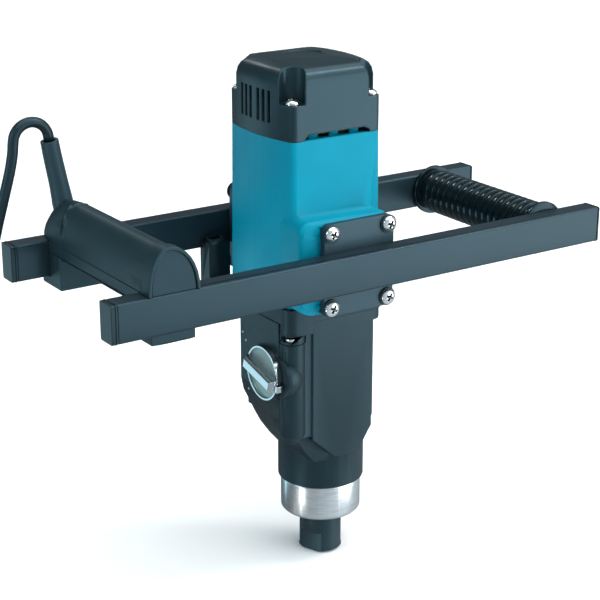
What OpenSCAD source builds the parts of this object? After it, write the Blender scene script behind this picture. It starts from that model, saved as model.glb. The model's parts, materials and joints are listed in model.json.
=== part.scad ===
// Two-speed hand held mixing drill with two side rails, a switch handle and a ribbed grip.
// Millimetres. The origin is the centre of the spindle tip, +Z runs up the spindle axis,
// +X runs along the rails from the switch handle to the grip, and +Y runs to the rear rail.

/* [Rails] */
// Length of each side rail, end plugs included
rail_len = 386; // [370:1:420]
// Thickness of a rail across the drill
rail_w = 15; // [12:0.5:18]
// Height of a rail
rail_h = 25; // [21:0.5:28]
// Wall of the rail tube
rail_wall = 1.8; // [1.2:0.1:2.5]
// Clear gap between the two rails
rail_gap = 126; // [124:1:140]
// Height of the middle of the rails above the spindle tip
rail_mid_z = 232.5; // [229:0.5:236]
// Distance of the left rail ends from the middle of the switch handle
rail_past = 40; // [36:0.5:50]
// Visible length of the end plugs at the left
plug_left_len = 4.5; // [3:0.5:8]
// Visible length of the end plugs at the right
plug_right_len = 1.5; // [1:0.5:6]

/* [Mounting plates] */
// Width of each plate between a rail and the motor housing
plate_w = 55; // [52:0.5:60]
// Height of each plate
plate_h = 62.5; // [61:0.5:66]
// Thickness of each plate
plate_t = 5; // [3:0.5:7]
// Offset of the front plate along the rails from the spindle axis
plate_x = -13; // [-16:0.5:-8]
// Offset of the rear plate from the front plate, which leaves room for the lead duct
rear_shift = 5; // [3:0.5:8]
// Spacing of the plate bolts along the rails
bolt_dx = 45; // [40:0.5:46]
// Spacing of the plate bolts in height
bolt_dz = 50; // [48:0.5:52]
// Thread diameter of the plate bolts
bolt_d = 6; // [5:0.5:8]
// Head diameter of the plate bolts
bolt_head_d = 10.5; // [9:0.5:11]
// Head height of the plate bolts
bolt_head_h = 4; // [2.5:0.5:5]

/* [Motor housing] */
// Width of the motor housing along the rails at its top edge
body_w = 71; // [70:0.5:76]
// Depth of the motor housing across the rails
body_d = 76; // [74:0.5:80]
// Bulge of the left and right faces
body_crown = 4; // [2:0.5:6]
// Extra half width at the bottom that lets the housing leave its mould
body_draft = 1.5; // [0:0.5:2.5]
// Radius of the upright edges
body_edge = 5; // [3:0.5:8]
// Height of the motor housing with its flange, from the gear housing to the top cover
motor_h = 123.5; // [122:0.5:128]
// Diameter of the bore that holds the motor
motor_bore_d = 62.6; // [60:0.2:63]
// Distance of the front rail pad's left edge from the spindle axis
pad_left = 55.5; // [48:0.5:57]
// Distance of the rear rail pad's left edge from the spindle axis
rear_pad_left = 36.5; // [35:0.5:40]
// Height of the rail pads' top edge above the middle of the rails
pad_rise = 33; // [32:0.5:40]

/* [Top cover] */
// Height of the top cover
cover_h = 48.5; // [47:0.5:56]
// Wall of the top cover
cover_wall = 3; // [2:0.5:4]
// Height of the screw ledges above the joint
ledge_h = 23.5; // [20:0.5:26]
// Radius of the corner pockets
pocket_r = 8.5; // [7.5:0.5:9]
// Number of air slots on each end face
slot_n = 6; // [4:2:8]
// Width of one air slot
slot_w = 3.2; // [2:0.2:3.4]
// Height of one air slot
slot_h = 21; // [15:1:24]
// Distance between the middles of neighbouring air slots
slot_pitch = 5.8; // [5:0.2:6.2]

/* [Gear housing] */
// Outer diameter of the neck
neck_d = 61; // [59:0.5:64]
// Radius of the round body about the spindle
gear_body_r = 35.5; // [35:0.5:37]
// Distance of the flat left face from the spindle axis
keel_x = 53.5; // [52:0.5:55]
// Height of the joint between gear housing and its cover
gear_top_z = 190; // [189.5:0.5:191]
// Height of the floor inside the gear housing
gear_floor_z = 118; // [116:0.5:119]
// Width of the ledge that carries the gear plate
chamber_ledge = 1.8; // [1.5:0.1:2.2]

/* [Neck ring] */
// Outer diameter of the clamping neck ring
ring_d = 57; // [55:0.5:58.5]
// Height of the ring's lower face
ring_z0 = 32; // [30:0.5:34]
// Height of the ring's upper face
ring_z1 = 58.2; // [57:0.1:59]

/* [Spindle] */
// Diameter of the spindle nose
nose_d = 30; // [26:0.5:30]
// Width across the wrench flats
flats_w = 24; // [20:0.5:25]
// Height of the wrench flats above the tip
flats_h = 15; // [10:0.5:20]
// Turn of the wrench flats about the spindle axis, in degrees
flats_turn = 112; // [0:1:180]
// Thread diameter of the paddle socket in the tip
thread_d = 14; // [12:1:16]
// Depth of the paddle socket
thread_depth = 32; // [20:1:40]

/* [Gears] */
// Face width of the spindle gears
gear_w = 7; // [6:0.25:7]
// Pressure angle of all teeth
press_angle = 25; // [22:1:25]
// Play between the flanks of meshing teeth
backlash = 0.16; // [0.12:0.02:0.3]

/* [Speed knob] */
// Height of the knob axis above the spindle tip
knob_z = 151.5; // [151:0.25:152]
// Diameter of the knob disc
knob_d = 38; // [34:0.5:40]
// Thickness of the knob disc
knob_t = 4; // [3:0.5:5]
// Height of the finger bar on the disc
knob_bar_h = 5; // [4:0.5:8]
// Throw of the shift pin from the knob axis
pin_throw = 7.25; // [7:0.05:7.25]
// Diameter of the shift pin
pin_d = 4.5; // [4:0.1:4.6]

/* [Switch handle] */
// Middle of the handle crest along the rails, left of the spindle axis
grip_mid = 161.5; // [155:0.5:168]
// Reach of the handle section to the left of its crest
grip_left = 13.2; // [12.8:0.1:16]
// Reach of the handle section to the right of its crest
grip_right = 19.4; // [18.5:0.1:22]
// Height of the handle crest above the rails
grip_rise = 28; // [26:0.5:32]
// Depth of the handle below the rail tops
grip_drop = 12; // [11.5:0.5:14]
// Wall of the handle shells
grip_wall = 2.6; // [2:0.1:3]
// Extra size of the lips at both handle ends
lip = 1.4; // [0.5:0.1:2]
// Depth of the feet below the rails
foot_drop = 6.5; // [5:0.5:12]
// Travel of the trigger
trigger_travel = 4.5; // [3:0.5:5]
// Travel of the lock-on button
lock_travel = 3; // [2:0.25:3.5]

/* [Side grip] */
// Distance of the side grip's axis from the right rail ends
side_past = 39.5; // [30:0.5:50]
// Outer diameter over the ribs
side_d = 32.6; // [30:0.2:35]
// Diameter of the steel tube in the grip
side_tube_d = 20; // [16:0.5:24]
// Diameter of the end flanges
side_flange_d = 37; // [36:0.5:40]
// Number of ribs
rib_n = 16; // [10:1:20]
// Height of a rib
rib_h = 1.3; // [0.8:0.1:1.8]

/* [Cord] */
// Diameter of the cord
cord_d = 7.2; // [6.4:0.1:7.4]
// Diameter of the cord guard at the handle
guard_d = 13.6; // [12:0.2:14]
// Diameter of the cord guard at its free end
guard_tip_d = 12; // [10:0.2:12.6]
// Number of turns in the coil
coil_turns = 8; // [6:2:10]
// Gap between neighbouring turns
coil_gap = 0.6; // [0.5:0.1:1]
// Outer radius of the coil, to the middle of the cord
coil_r = 56; // [54:0.5:60]

/* [Hidden] */
$fn = 48;

// Clearances that the fits share
run_fit = 0.05;
seat_gap = 0.2;
slide_gap = 0.4;
part_gap = 0.3;
cut = 0.01;

// Axis of the motor, and of the countershaft as distance and direction seen from the spindle
motor_x = -14;
cs_dist = 30;
cs_angle = 210;

// Teeth: motor pinion and countershaft wheel, slow pair, fast pair
motor_teeth = 8;
wheel_teeth = 40;
slow_teeth = 12;
slow_wheel_teeth = 48;
fast_teeth = 16;
fast_wheel_teeth = 44;

// Rails
rail_z0 = rail_mid_z - rail_h / 2;
rail_z1 = rail_mid_z + rail_h / 2;
rail_in = rail_gap / 2;
rail_reach = grip_mid + rail_past;
side_x = rail_len - rail_reach - side_past;
rail_out = rail_in + rail_w;
pad_y = rail_in - plate_t;
function plate_mid(side) = side > 0 ? plate_x + rear_shift : plate_x;

// Motor housing and top cover
seam_z = gear_top_z + motor_h;
body_z0 = gear_top_z + 11.5;
top_z = seam_z + cover_h;
ledge_z = seam_z + ledge_h;
corner_x = body_w / 2 - 5;
corner_y = body_d / 2 - 6.5;
long_screw_d = 5;
bore_r = motor_bore_d / 2;
pad_z0 = rail_mid_z - 29.5;
pad_z1 = rail_mid_z + pad_rise;
pad_edge = 2.2;
pad_hollow_w = 28;

// Gear housing
gear_z0 = ring_z1;
chamber_r = 31.5;
chamber2_r = 20;
cs = [cs_dist * cos(cs_angle), cs_dist * sin(cs_angle)];
plate_z0 = 166;
gear_plate_t = 10;
flange_hx = body_w / 2 + 4.2;
flange_hy = body_d / 2 + 2;
// Distance of the flat front and back faces from the spindle axis
gear_face_y = body_d / 2;
gear_screw_d = 4.5;
gear_screw_len = 26;
gear_head_d = 8.4;
gear_head_h = 3;
ear_z = plate_z0 + gear_plate_t + seat_gap;
ear_t = 2.5;
// Pocket of an ear screw's head: its radius and the height of its mouth
ear_pocket_r = 4.7;
ear_mouth = 3.4;
ear_corner_w = 12;
skirt_z = ear_z + ear_t + ear_mouth;
right_flange_z = gear_top_z - 8.5;
// Screw ears and the columns of the long screws: middle, radius and height of the column's foot
ear_screws = [[-keel_x + 9, 7 - gear_face_y, 8.5, 110], [15 - keel_x, gear_face_y - 7, 7, 132]];
// The screw stands nearer to the corner than the middle of its ear
function ear_axis(p) = [p[0], p[1]] + (p[2] - ear_pocket_r) * [sign(p[0]), sign(p[1])] / sqrt(2);
long_columns = [[motor_x + corner_x, -corner_y, 4.5, 110], [motor_x + corner_x, corner_y, 4.5, 110]];
long_grip = 12;

// Bearings: bore radius, outer radius, width
lower_brg = [12.5, 26, 15];
upper_brg = [6, 14, 8];
arm_brg = [4, 11, 7];
cs_brg = [3.5, 9.5, 6];
cs_bush = [3.5, 6, 8];
lower_brg_z = gear_z0 + 3.8;
upper_brg_z = plate_z0 + 0.5;
arm_brg_z = body_z0 - 1.5 - arm_brg[2];
arm_top_z = top_z - 22;

// Gears
function mesh_module(dist, z1, z2) = 2 * dist / (z1 + z2);
motor_dir = atan2(cs[1], cs[0] - motor_x);
motor_module = mesh_module(norm([cs[0] - motor_x, cs[1]]), motor_teeth, wheel_teeth);
slow_module = mesh_module(cs_dist, slow_teeth, slow_wheel_teeth);
fast_module = mesh_module(cs_dist, fast_teeth, fast_wheel_teeth);
shift = 2 * pin_throw;
groove_w = pin_d + 0.43 * pin_throw + slide_gap;
collar_w = 2;
collar_z = knob_z - pin_throw - groove_w / 2 - collar_w;
slow_z = collar_z - part_gap - gear_w;
fast_z = slow_z - gear_w - 1;
fast_pinion_z = fast_z - shift;
pocket_floor_z = fast_pinion_z - 1;
cs_brg_z = pocket_floor_z - cs_brg[2];
collar_r = 11;
groove_r = 6.8;
cluster_neck_r = 4.9;
hex_r = 3.8;
hex_top_z = plate_z0 + gear_plate_t + 1;
wheel_room_r = motor_module * (wheel_teeth / 2 + 0.75) + 0.6;
gear_seat_r = 11;
wheel_z = plate_z0 + gear_plate_t + 2.5;
pinion_z0 = plate_z0 + gear_plate_t + 1.5;
pinion_z1 = gear_top_z - 2.5;

// Motor
fan_z = body_z0 + 3;
fan_h = 12;
core_z0 = body_z0 + 36.5;
core_h = 50;
core_r = 16.5;
arm_coil_r = 14.5;
arm_coil_end_r = 11;
arm_coil_h = 11;
coil_end = 8;
// Coil sides: place from the motor axis, width and height
coil_x = 20.5;
coil_y = 10.5;
coil_w = 8;
coil_h = 10;
comm_z0 = seam_z - 4.5;
comm_h = 20;
comm_r = 11;
brush_z = comm_z0 + comm_h / 2 + 0.5;

// Knob
knob_y = cs[1];
knob_face = keel_x + 1;
knob_stem_r = 5.5;
knob_dish = 2;
pin_disc_t = 2.5;

// Switch handle
hz = rail_z1;
hx = -grip_mid;
handle_x0 = hx - grip_left;
handle_x1 = hx + grip_right;
trigger_x = hx + 3;
trigger_w = 14;
trigger_y0 = -51;
trigger_y1 = -22;
trigger_drop = trigger_travel + 0.5;
floor_z = hz - grip_drop + grip_wall;
post_r = 3;
lock_y = -8;
lock_z = hz + 6;
lock_r = 5;
lock_collar = 1.5;
lock_x = handle_x1 - grip_wall - 3 - lock_collar;
dome_len = 32;
rear_leg_t = 15.5;
front_leg_t = 9.5;
foot_y = rail_in + 12.5;
handle_screw_x = [hx - 6.5, hx + 13.5];
handle_screw_d = 4.5;

// Cord: the route runs from the guard over an arch, down to the floor and along it to the coil
cord_y = 66;
guard_top = [-168.8, cord_y, 311];
cord_r = cord_d / 2;
layer = cord_d + coil_gap;
coil_mid = [-292, cord_y - coil_r];
cord_route = [[-168.82, cord_y, 311.1], [-169.3, cord_y, 314], [-170.3, cord_y, 317.4],
    [-172.4, cord_y, 320.6], [-175.3, cord_y, 322.9], [-179.2, cord_y, 324.3], [-183.3, cord_y, 324.4],
    [-187.4, cord_y, 323], [-190.9, cord_y, 320.3], [-193.2, cord_y, 316.4], [-194.1, cord_y, 312],
    [-195, cord_y, 305], [-197.5, cord_y, 294], [-203, cord_y, 276], [-210, cord_y, 253],
    [-217.5, cord_y, 222], [-223, cord_y, 182], [-227, cord_y, 140], [-230.2, cord_y, 102],
    [-234, cord_y, 68], [-240, cord_y, 41], [-248.5, cord_y, 20.5], [-258.5, cord_y, 8.8],
    [-269, cord_y, cord_r + 1], [-277, cord_y, cord_r], [coil_mid[0] + cord_d, cord_y, cord_r]];
guard_route = [[-159.4, cord_y, 256], [-161.2, cord_y, 267], [-163, cord_y, 278],
    [-165, cord_y, 289], [-167, cord_y, 300], guard_top];
guard_lean = atan2(guard_route[0][0] - guard_route[1][0], guard_route[1][2] - guard_route[0][2]);
tail_z = cord_r + layer;
tail_route = [[coil_mid[0] - cord_d, cord_y, tail_z], [coil_mid[0] - 17, cord_y, tail_z],
    [coil_mid[0] - 27, cord_y - 1, tail_z], [coil_mid[0] - 42, cord_y - 3, tail_z],
    [coil_mid[0] - 57, cord_y - 4, tail_z]];
plug_len = 42;
plug_w = 36;
pin_len = 19;
pin_gap = 19;
plug_pin_d = 4.8;
plug_neck = 12;

// Outline with bulging left and right sides and rounded corners, about the origin
function crowned(x, y, bulge, r) = concat(
    [for (i = [0:8]) let (s = i / 4 - 1) [x + bulge * (1 - s * s), s * (y - r)]],
    [for (i = [1:4]) [x - r + r * cos(22.5 * i), y - r + r * sin(22.5 * i)]],
    [for (i = [0:3]) [-x + r - r * sin(22.5 * i), y - r + r * cos(22.5 * i)]],
    [for (i = [0:8]) let (s = 1 - i / 4) [-x - bulge * (1 - s * s), s * (y - r)]],
    [for (i = [1:4]) [-x + r - r * cos(22.5 * i), -y + r - r * sin(22.5 * i)]],
    [for (i = [0:3]) [x - r + r * sin(22.5 * i), -y + r - r * cos(22.5 * i)]]);

// Rectangle with rounded corners between two corners
function rounded(x0, y0, x1, y1, r) = [for (c = [[x1 - r, y1 - r, 0], [x0 + r, y1 - r, 90],
    [x0 + r, y0 + r, 180], [x1 - r, y0 + r, 270]], i = [0:5])
    [c[0] + r * cos(c[2] + 18 * i), c[1] + r * sin(c[2] + 18 * i)]];

module slab(outline, z, t) {
    translate([0, 0, z]) linear_extrude(t) polygon(outline);
}

module tube(r_out, r_in, z, h) {
    translate([0, 0, z]) difference() {
        cylinder(r = r_out, h = h);
        translate([0, 0, -1]) cylinder(r = r_in, h = h + 2);
    }
}

// Extrudes an outline drawn in X and Z along Y, from y0 to y1
module along_y(y0, y1) {
    translate([0, y1, 0]) rotate([90, 0, 0]) linear_extrude(y1 - y0) children();
}

module at_motor() { translate([motor_x, 0, 0]) children(); }
module at_countershaft() { translate([cs[0], cs[1], 0]) children(); }

// Copies for the corners of the motor housing
module at_corners() {
    for (sx = [-1, 1], sy = [-1, 1]) translate([motor_x + sx * corner_x, sy * corner_y, 0]) children();
}

// Copies for the four plate bolts, with Z pointing out of the plate
module at_bolts(side) {
    for (sx = [-1, 1], sz = [-1, 1])
        translate([plate_mid(side) + sx * bolt_dx / 2, side * rail_in, rail_mid_z + sz * bolt_dz / 2])
            rotate([-90 * side, 0, 0]) children();
}

// Pan head screw with its head on z = 0, its shank down to -len and a cross recess
module pan_screw(d, len, head_d, head_h) {
    difference() {
        union() {
            cylinder(d = head_d, h = head_h * 0.55);
            translate([0, 0, head_h * 0.55]) cylinder(d1 = head_d, d2 = head_d * 0.62, h = head_h * 0.45);
            translate([0, 0, -len]) cylinder(d = d, h = len + cut);
        }
        for (a = [0, 90]) rotate([0, 0, a]) translate([-head_d * 0.24, -head_d * 0.05, head_h * 0.5])
            cube([head_d * 0.48, head_d * 0.1, head_h]);
    }
}

// Involute spur gear: the flank runs from the root or base circle to the tip in three points
function polar(r, a) = [r * cos(a), r * sin(a)];
function flank_angle(r, base) = r <= base ? 0 : let (a = acos(base / r)) tan(a) * 180 / PI - a;
function tooth_points(m, z, k) = let (
    pitch = m * z / 2,
    base = pitch * cos(press_angle),
    tip = pitch + 0.75 * m,
    root = pitch - 0.95 * m,
    half = 90 / z - backlash / pitch * 45 / PI + flank_angle(pitch, base),
    radii = [root, max(root + 0.02, base), (max(root, base) + tip) / 2, tip],
    mid = 360 * k / z)
    concat(
        [for (r = radii) polar(r, mid - half + flank_angle(r, base))],
        [for (i = [3:-1:0]) polar(radii[i], mid + half - flank_angle(radii[i], base))]);

module spur_gear(m, z, w, turn) {
    rotate([0, 0, turn]) linear_extrude(w) polygon([for (k = [0:z - 1]) each tooth_points(m, z, k)]);
}

// Turned so that a gap of the driven gear faces the tooth of its mate in direction dir
function gap_turn(dir, z) = dir + 180 + 180 / z;

// Round tube swept along points, with flat ends
function unit(v) = v / norm(v);
function tangent(p, i) = let (n = len(p))
    i == 0 ? unit(p[1] - p[0]) : i == n - 1 ? unit(p[n - 1] - p[n - 2]) :
    unit(unit(p[i + 1] - p[i]) + unit(p[i] - p[i - 1]));
function sweep_points(p, radii, sides, ref) = [for (i = [0:len(p) - 1], k = [0:sides - 1])
    let (t = tangent(p, i), u = unit(cross(t, ref)), v = cross(u, t), a = 360 * (k + 0.5) / sides)
    p[i] + radii[i] * (u * cos(a) + v * sin(a))];
function sweep_faces(rings, sides) = concat(
    [for (k = [1:sides - 2]) [0, k + 1, k]],
    [for (i = [0:rings - 2], k = [0:sides - 1]) let (a = i * sides + k, b = i * sides + (k + 1) % sides)
        each [[a, b, b + sides], [a, b + sides, a + sides]]],
    [for (k = [1:sides - 2]) let (o = (rings - 1) * sides) [o, o + k, o + k + 1]]);
module sweep(p, radii, sides, ref) {
    polyhedron(points = sweep_points(p, radii, sides, ref), faces = sweep_faces(len(p), sides));
}
function same(p, r) = [for (q = p) r];

module motor_shape() {
    hull() {
        slab(crowned(body_w / 2 + body_draft, body_d / 2, body_crown, body_edge), body_z0, cut);
        slab(crowned(body_w / 2, body_d / 2, body_crown, body_edge), seam_z - cut, cut);
    }
}

// Raised pad that the plate of one rail is bolted to
module rail_pad(side) {
    left = side > 0 ? -rear_pad_left : -pad_left;
    right = plate_mid(side) + plate_w / 2;
    mirror([0, side > 0 ? 0 : 1, 0]) hull() {
        along_y(pad_y - 1, pad_y)
            polygon(rounded(left + pad_edge, pad_z0, right, pad_z1 - pad_edge, 8));
        along_y(pad_y - 1 - pad_edge, pad_y - pad_edge) polygon(rounded(left, pad_z0, right, pad_z1, 8));
        along_y(body_d / 2 - 8, body_d / 2) polygon(rounded(left + 3, body_z0, right, pad_z1, 8));
    }
}

module motor_housing() {
    slots = 5;
    slot_step = 9;
    color("#0093AE") difference() {
        union() {
            at_motor() motor_shape();
            for (side = [-1, 1]) rail_pad(side);
            // Ribs that show in the window of the top cover
            for (i = [0:2]) translate([motor_x - 20 + 16 * i, -body_d / 2 + 3.4, seam_z - 1])
                cube([7, 2, 4.5]);
        }
        at_motor() translate([0, 0, body_z0 - 1]) cylinder(r = bore_r, h = seam_z - body_z0 + 6, $fn = 96);
        // Air channels beside the field core
        for (sx = [-1, 1], sy = [-1, 1]) translate([motor_x + sx * 20, sy * 23, fan_z + fan_h])
            cylinder(r = 5.5, h = seam_z - body_z0, $fn = 24);
        // Hollows in the pads, open to the motor bore
        for (sy = [-1, 1])
            translate([plate_mid(sy), sy * (body_d / 2 + 2.5), body_z0 + 34])
                cube([pad_hollow_w, 24, 40], center = true);
        at_corners() translate([0, 0, body_z0 - 1])
            cylinder(d = long_screw_d + 2 * part_gap, h = seam_z - body_z0 + 2);
        for (side = [-1, 1]) at_bolts(side) translate([0, 0, -plate_t - 15])
            cylinder(d = bolt_d + 2 * run_fit, h = 16);
        // Air outlets at the right
        for (i = [0:slots - 1])
            translate([motor_x + bore_r - 4, (i - (slots - 1) / 2) * slot_step - 2.5, fan_z + 1])
                cube([20, 5, fan_h - 2]);
    }
}

module cover_solid(inset) {
    x = body_w / 2 - inset;
    y = body_d / 2 - inset;
    r = body_edge;
    hull() {
        slab(crowned(x, y, body_crown, r), seam_z - inset, cover_h - 13);
        slab(crowned(x - 0.8, y - 0.8, body_crown, r), top_z - 8.5 - inset, cut);
        slab(crowned(x - 2.6, y - 2.6, body_crown, r), top_z - 5.2 - inset, cut);
        slab(crowned(x - 6, y - 6, body_crown, r), top_z - 2.8 - inset, cut);
        slab(crowned(x - 13, y - 13, 3, r), top_z - 1.2 - inset, cut);
        slab(crowned(x - 24, y - 24, 1, r), top_z - inset - cut, cut);
    }
}

// Middle of air slot i, in two groups with a wider bar between them
function slot_mid(i) = (i - (slot_n - 1) / 2) * slot_pitch + (i < slot_n / 2 ? -1.6 : 1.6);

module top_cover() {
    roof = top_z - cover_wall - 6;
    color("#2E3A41") at_motor() difference() {
        union() {
            difference() {
                cover_solid(0);
                cover_solid(cover_wall);
            }
            intersection() {
                cover_solid(0.1);
                union() {
                    for (sx = [-1, 1], sy = [-1, 1]) translate([sx * corner_x, sy * corner_y, seam_z]) {
                        cylinder(r = pocket_r - 2, h = ledge_h);
                        translate([0, 0, ledge_h - 3]) cylinder(r = pocket_r + 2.2, h = cover_h);
                    }
                    translate([0, 0, arm_top_z]) cylinder(r = arm_brg[1] + 3, h = cover_h);
                }
            }
        }
        for (sx = [-1, 1], sy = [-1, 1]) translate([sx * corner_x, sy * corner_y, 0]) {
            translate([0, 0, seam_z - 1]) cylinder(d = long_screw_d + 2 * part_gap, h = cover_h);
            translate([0, 0, ledge_z]) cylinder(r = pocket_r, h = cover_h);
            translate([sx * pocket_r - pocket_r, sy * pocket_r - pocket_r, ledge_z])
                cube([2 * pocket_r, 2 * pocket_r, cover_h]);
        }
        translate([0, 0, arm_top_z - 1]) cylinder(r = arm_brg[1] + run_fit / 2, h = arm_brg[2] + 1);
        translate([0, 0, arm_top_z]) cylinder(r = 6, h = roof - arm_top_z);
        // Air slots in two groups on both end faces
        for (sx = [-1, 1], i = [0:slot_n - 1]) let (y = slot_mid(i) - slot_w / 2)
            translate([sx * body_w / 2 - 9, y, seam_z + 10]) cube([18, slot_w, slot_h]);
        // Window along the joint at the front
        along_y(-body_d / 2 - 1, -body_d / 2 + cover_wall + 1) translate([0, seam_z])
            polygon([[-27.5, -1], [-22, 4], [22, 4], [26, 2], [26, -1]]);
        // Shallow dish in the roof
        translate([0, 0, top_z - 0.8]) cylinder(r = 14, h = 2);
    }
}

module top_cover_screws() {
    color("#D5D8DA") for (sx = [-1, 1], sy = [-1, 1])
        translate([motor_x + sx * corner_x, sy * corner_y, ledge_z])
            pan_screw(long_screw_d, ledge_z - gear_top_z + (sx > 0 ? long_grip : -2), 9, 3.4);
}

module keel_outline() {
    polygon([[-keel_x, gear_top_z], [-keel_x, 136], [-keel_x + 2, 126.5], [-keel_x + 6.1, 118.3],
        [-keel_x + 11, 108], [-keel_x + 15.4, 99.7], [-keel_x + 22.9, 89.1], [-keel_x + 29.6, 81.3],
        [0, 81.3], [0, gear_top_z]]);
}

module face_outline() {
    polygon([[-32.5, gear_top_z], [-32.5, 104], [-14, 87], [5, 85.5], [17, 104], [17, gear_top_z]]);
}

module gear_shape() {
    cylinder(d = neck_d, h = 100 - gear_z0, $fn = 72);
    translate([0, 0, 85 - gear_z0]) cylinder(r1 = neck_d / 2 - 1, r2 = gear_body_r, h = 19, $fn = 72);
    translate([0, 0, 104 - gear_z0]) cylinder(r = gear_body_r, h = gear_top_z - 104, $fn = 72);
    translate([0, 0, -gear_z0]) {
        along_y(-gear_face_y, gear_face_y) face_outline();
        along_y(10 - gear_face_y, 21) keel_outline();
        // Corner columns of the screws
        for (p = concat(ear_screws, long_columns)) translate([p[0], p[1], 0]) {
            translate([0, 0, p[3]]) cylinder(r = p[2], h = gear_top_z - p[3]);
            translate([0, 0, p[3] - 6]) cylinder(r1 = p[2] - 3, r2 = p[2], h = 6);
        }
        // Fillings between the columns and the front and back faces
        translate([-keel_x + 9, -gear_face_y + 1.5, 106]) cube([16, 30, gear_top_z - 106]);
        translate([-keel_x + 15, 10, 108]) cube([16, gear_face_y - 12, gear_top_z - 108]);
        // Flange at the right end
        slab(rounded(0, -gear_face_y, motor_x + flange_hx, gear_face_y, 8), right_flange_z,
            gear_top_z - right_flange_z);
        // Boss behind the knob, rounded towards the front corner
        hull() {
            translate([-knob_face, knob_y, knob_z]) rotate([0, 90, 0])
                cylinder(r = knob_d / 2 + 0.5, h = 4, $fn = 32);
            translate([-knob_face + 6.5, knob_y - 6, knob_z - 5]) sphere(r = 13, $fn = 32);
        }
    }
}

module gear_housing() {
    color("#2E3A41") difference() {
        translate([0, 0, gear_z0]) gear_shape();
        // Seat of the lower spindle bearing and the neck ring's spigot
        translate([0, 0, gear_z0 - 1])
            cylinder(r = lower_brg[1] + run_fit / 2, h = lower_brg_z + lower_brg[2] - gear_z0 + 1, $fn = 72);
        translate([0, 0, gear_z0]) cylinder(r = gear_seat_r + 3, h = gear_top_z);
        translate([0, 0, gear_floor_z]) cylinder(r = chamber_r - chamber_ledge, h = gear_top_z, $fn = 72);
        translate([0, 0, plate_z0]) cylinder(r = chamber_r, h = gear_top_z, $fn = 72);
        at_countershaft() {
            translate([0, 0, cs_brg_z]) cylinder(r = cs_brg[1] + run_fit / 2, h = gear_top_z);
            translate([0, 0, cs_brg_z - 2]) cylinder(r = 5, h = 4);
            translate([0, 0, gear_floor_z]) cylinder(r = chamber2_r - chamber_ledge, h = gear_top_z);
            translate([0, 0, plate_z0]) cylinder(r = chamber2_r, h = gear_top_z);
        }
        translate([-keel_x - 20, knob_y, knob_z]) rotate([0, 90, 0])
            cylinder(r = knob_stem_r + run_fit, h = keel_x + 20 + cs[0] - 16);
        translate([-knob_face - 20, knob_y, knob_z]) rotate([0, 90, 0]) cylinder(r = knob_d, h = 20);
        for (p = ear_screws) {
            translate([p[0], p[1], ear_z]) cylinder(r = p[2] + seat_gap, h = 20);
            translate([p[0], p[1], ear_z]) ear_corner(p, 0);
            translate([ear_axis(p)[0], ear_axis(p)[1], ear_z - 30])
                cylinder(d = gear_screw_d + 2 * run_fit, h = 40);
        }
        for (p = long_columns) translate([p[0], p[1], gear_top_z - long_grip - 2])
            cylinder(d = long_screw_d + 2 * run_fit, h = 40);
    }
}

// Space outside the middle of an ear, less a gap
module ear_corner(p, gap) {
    w = ear_corner_w - 2 * gap;
    translate([sign(p[0]) * ear_corner_w / 3, sign(p[1]) * ear_corner_w / 2, 10])
        cube([w, w, 20], center = true);
}

module gear_housing_cover() {
    web = body_z0 - gear_top_z;
    color("#2E3A41") difference() {
        union() {
            at_motor() slab(rounded(-flange_hx, -flange_hy, flange_hx, flange_hy, 8), gear_top_z, web);
            for (p = ear_screws) translate([p[0], p[1], ear_z])
                cylinder(r = p[2], h = gear_top_z - ear_z + 1);
            // Skirt that hides the ears from above
            intersection() {
                at_motor() slab(rounded(-flange_hx, -flange_hy, flange_hx, flange_hy, 8), skirt_z, web);
                union() {
                    for (p = ear_screws) translate([p[0], p[1], skirt_z]) ear_corner(p, seat_gap);
                    translate([ear_screws[0][0], -flange_hy, skirt_z]) cube([11.8, 3.3, 20]);
                }
            }
        }
        for (p = ear_screws) {
            // The head's pocket opens to the corner, and its bore runs on up for the screwdriver
            translate([ear_axis(p)[0], ear_axis(p)[1], 0]) {
                translate([0, 0, ear_z + ear_t]) cylinder(r = ear_pocket_r, h = 60);
                translate([0, 0, ear_z - 1]) cylinder(d = gear_screw_d + 2 * run_fit, h = 10);
            }
            hull() for (q = [ear_axis(p), ear_axis(p) + 12 * [sign(p[0]), sign(p[1])]])
                translate([q[0], q[1], ear_z + ear_t]) cylinder(r = ear_pocket_r, h = ear_mouth);
        }
        at_motor() {
            translate([0, 0, arm_brg_z]) cylinder(r = arm_brg[1] + run_fit / 2, h = 20);
            translate([0, 0, gear_top_z - 1]) cylinder(r = arm_brg[0] + 1, h = 20);
        }
        at_countershaft() {
            translate([0, 0, gear_top_z - 1]) cylinder(r = cs_bush[1] + run_fit / 2, h = cs_bush[2] + 1);
            // Room for the countershaft wheel beside the front ear
            translate([0, 0, ear_z - 1]) cylinder(r = wheel_room_r, h = gear_top_z - ear_z + 1);
        }
        at_corners() translate([0, 0, gear_top_z - 1]) cylinder(d = long_screw_d + 2 * run_fit, h = 20);
    }
}

module gear_housing_screws() {
    color("#D5D8DA") for (p = ear_screws)
        translate([ear_axis(p)[0], ear_axis(p)[1], ear_z + ear_t])
            pan_screw(gear_screw_d, gear_screw_len, gear_head_d, gear_head_h);
}

module gear_plate() {
    color("#9AA0A4") difference() {
        union() {
            translate([0, 0, plate_z0]) cylinder(r = chamber_r - seat_gap, h = gear_plate_t, $fn = 72);
            at_countershaft() translate([0, 0, plate_z0])
                cylinder(r = chamber2_r - seat_gap, h = gear_plate_t);
        }
        translate([0, 0, plate_z0 - 1]) cylinder(r = upper_brg[1] + run_fit / 2, h = upper_brg[2] + 1.5);
        translate([0, 0, plate_z0]) cylinder(r = upper_brg[0] + 1, h = gear_plate_t + 1);
        at_countershaft() translate([0, 0, plate_z0 - 1]) cylinder(r = hex_r + 1.4, h = gear_plate_t + 2);
    }
}

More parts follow.
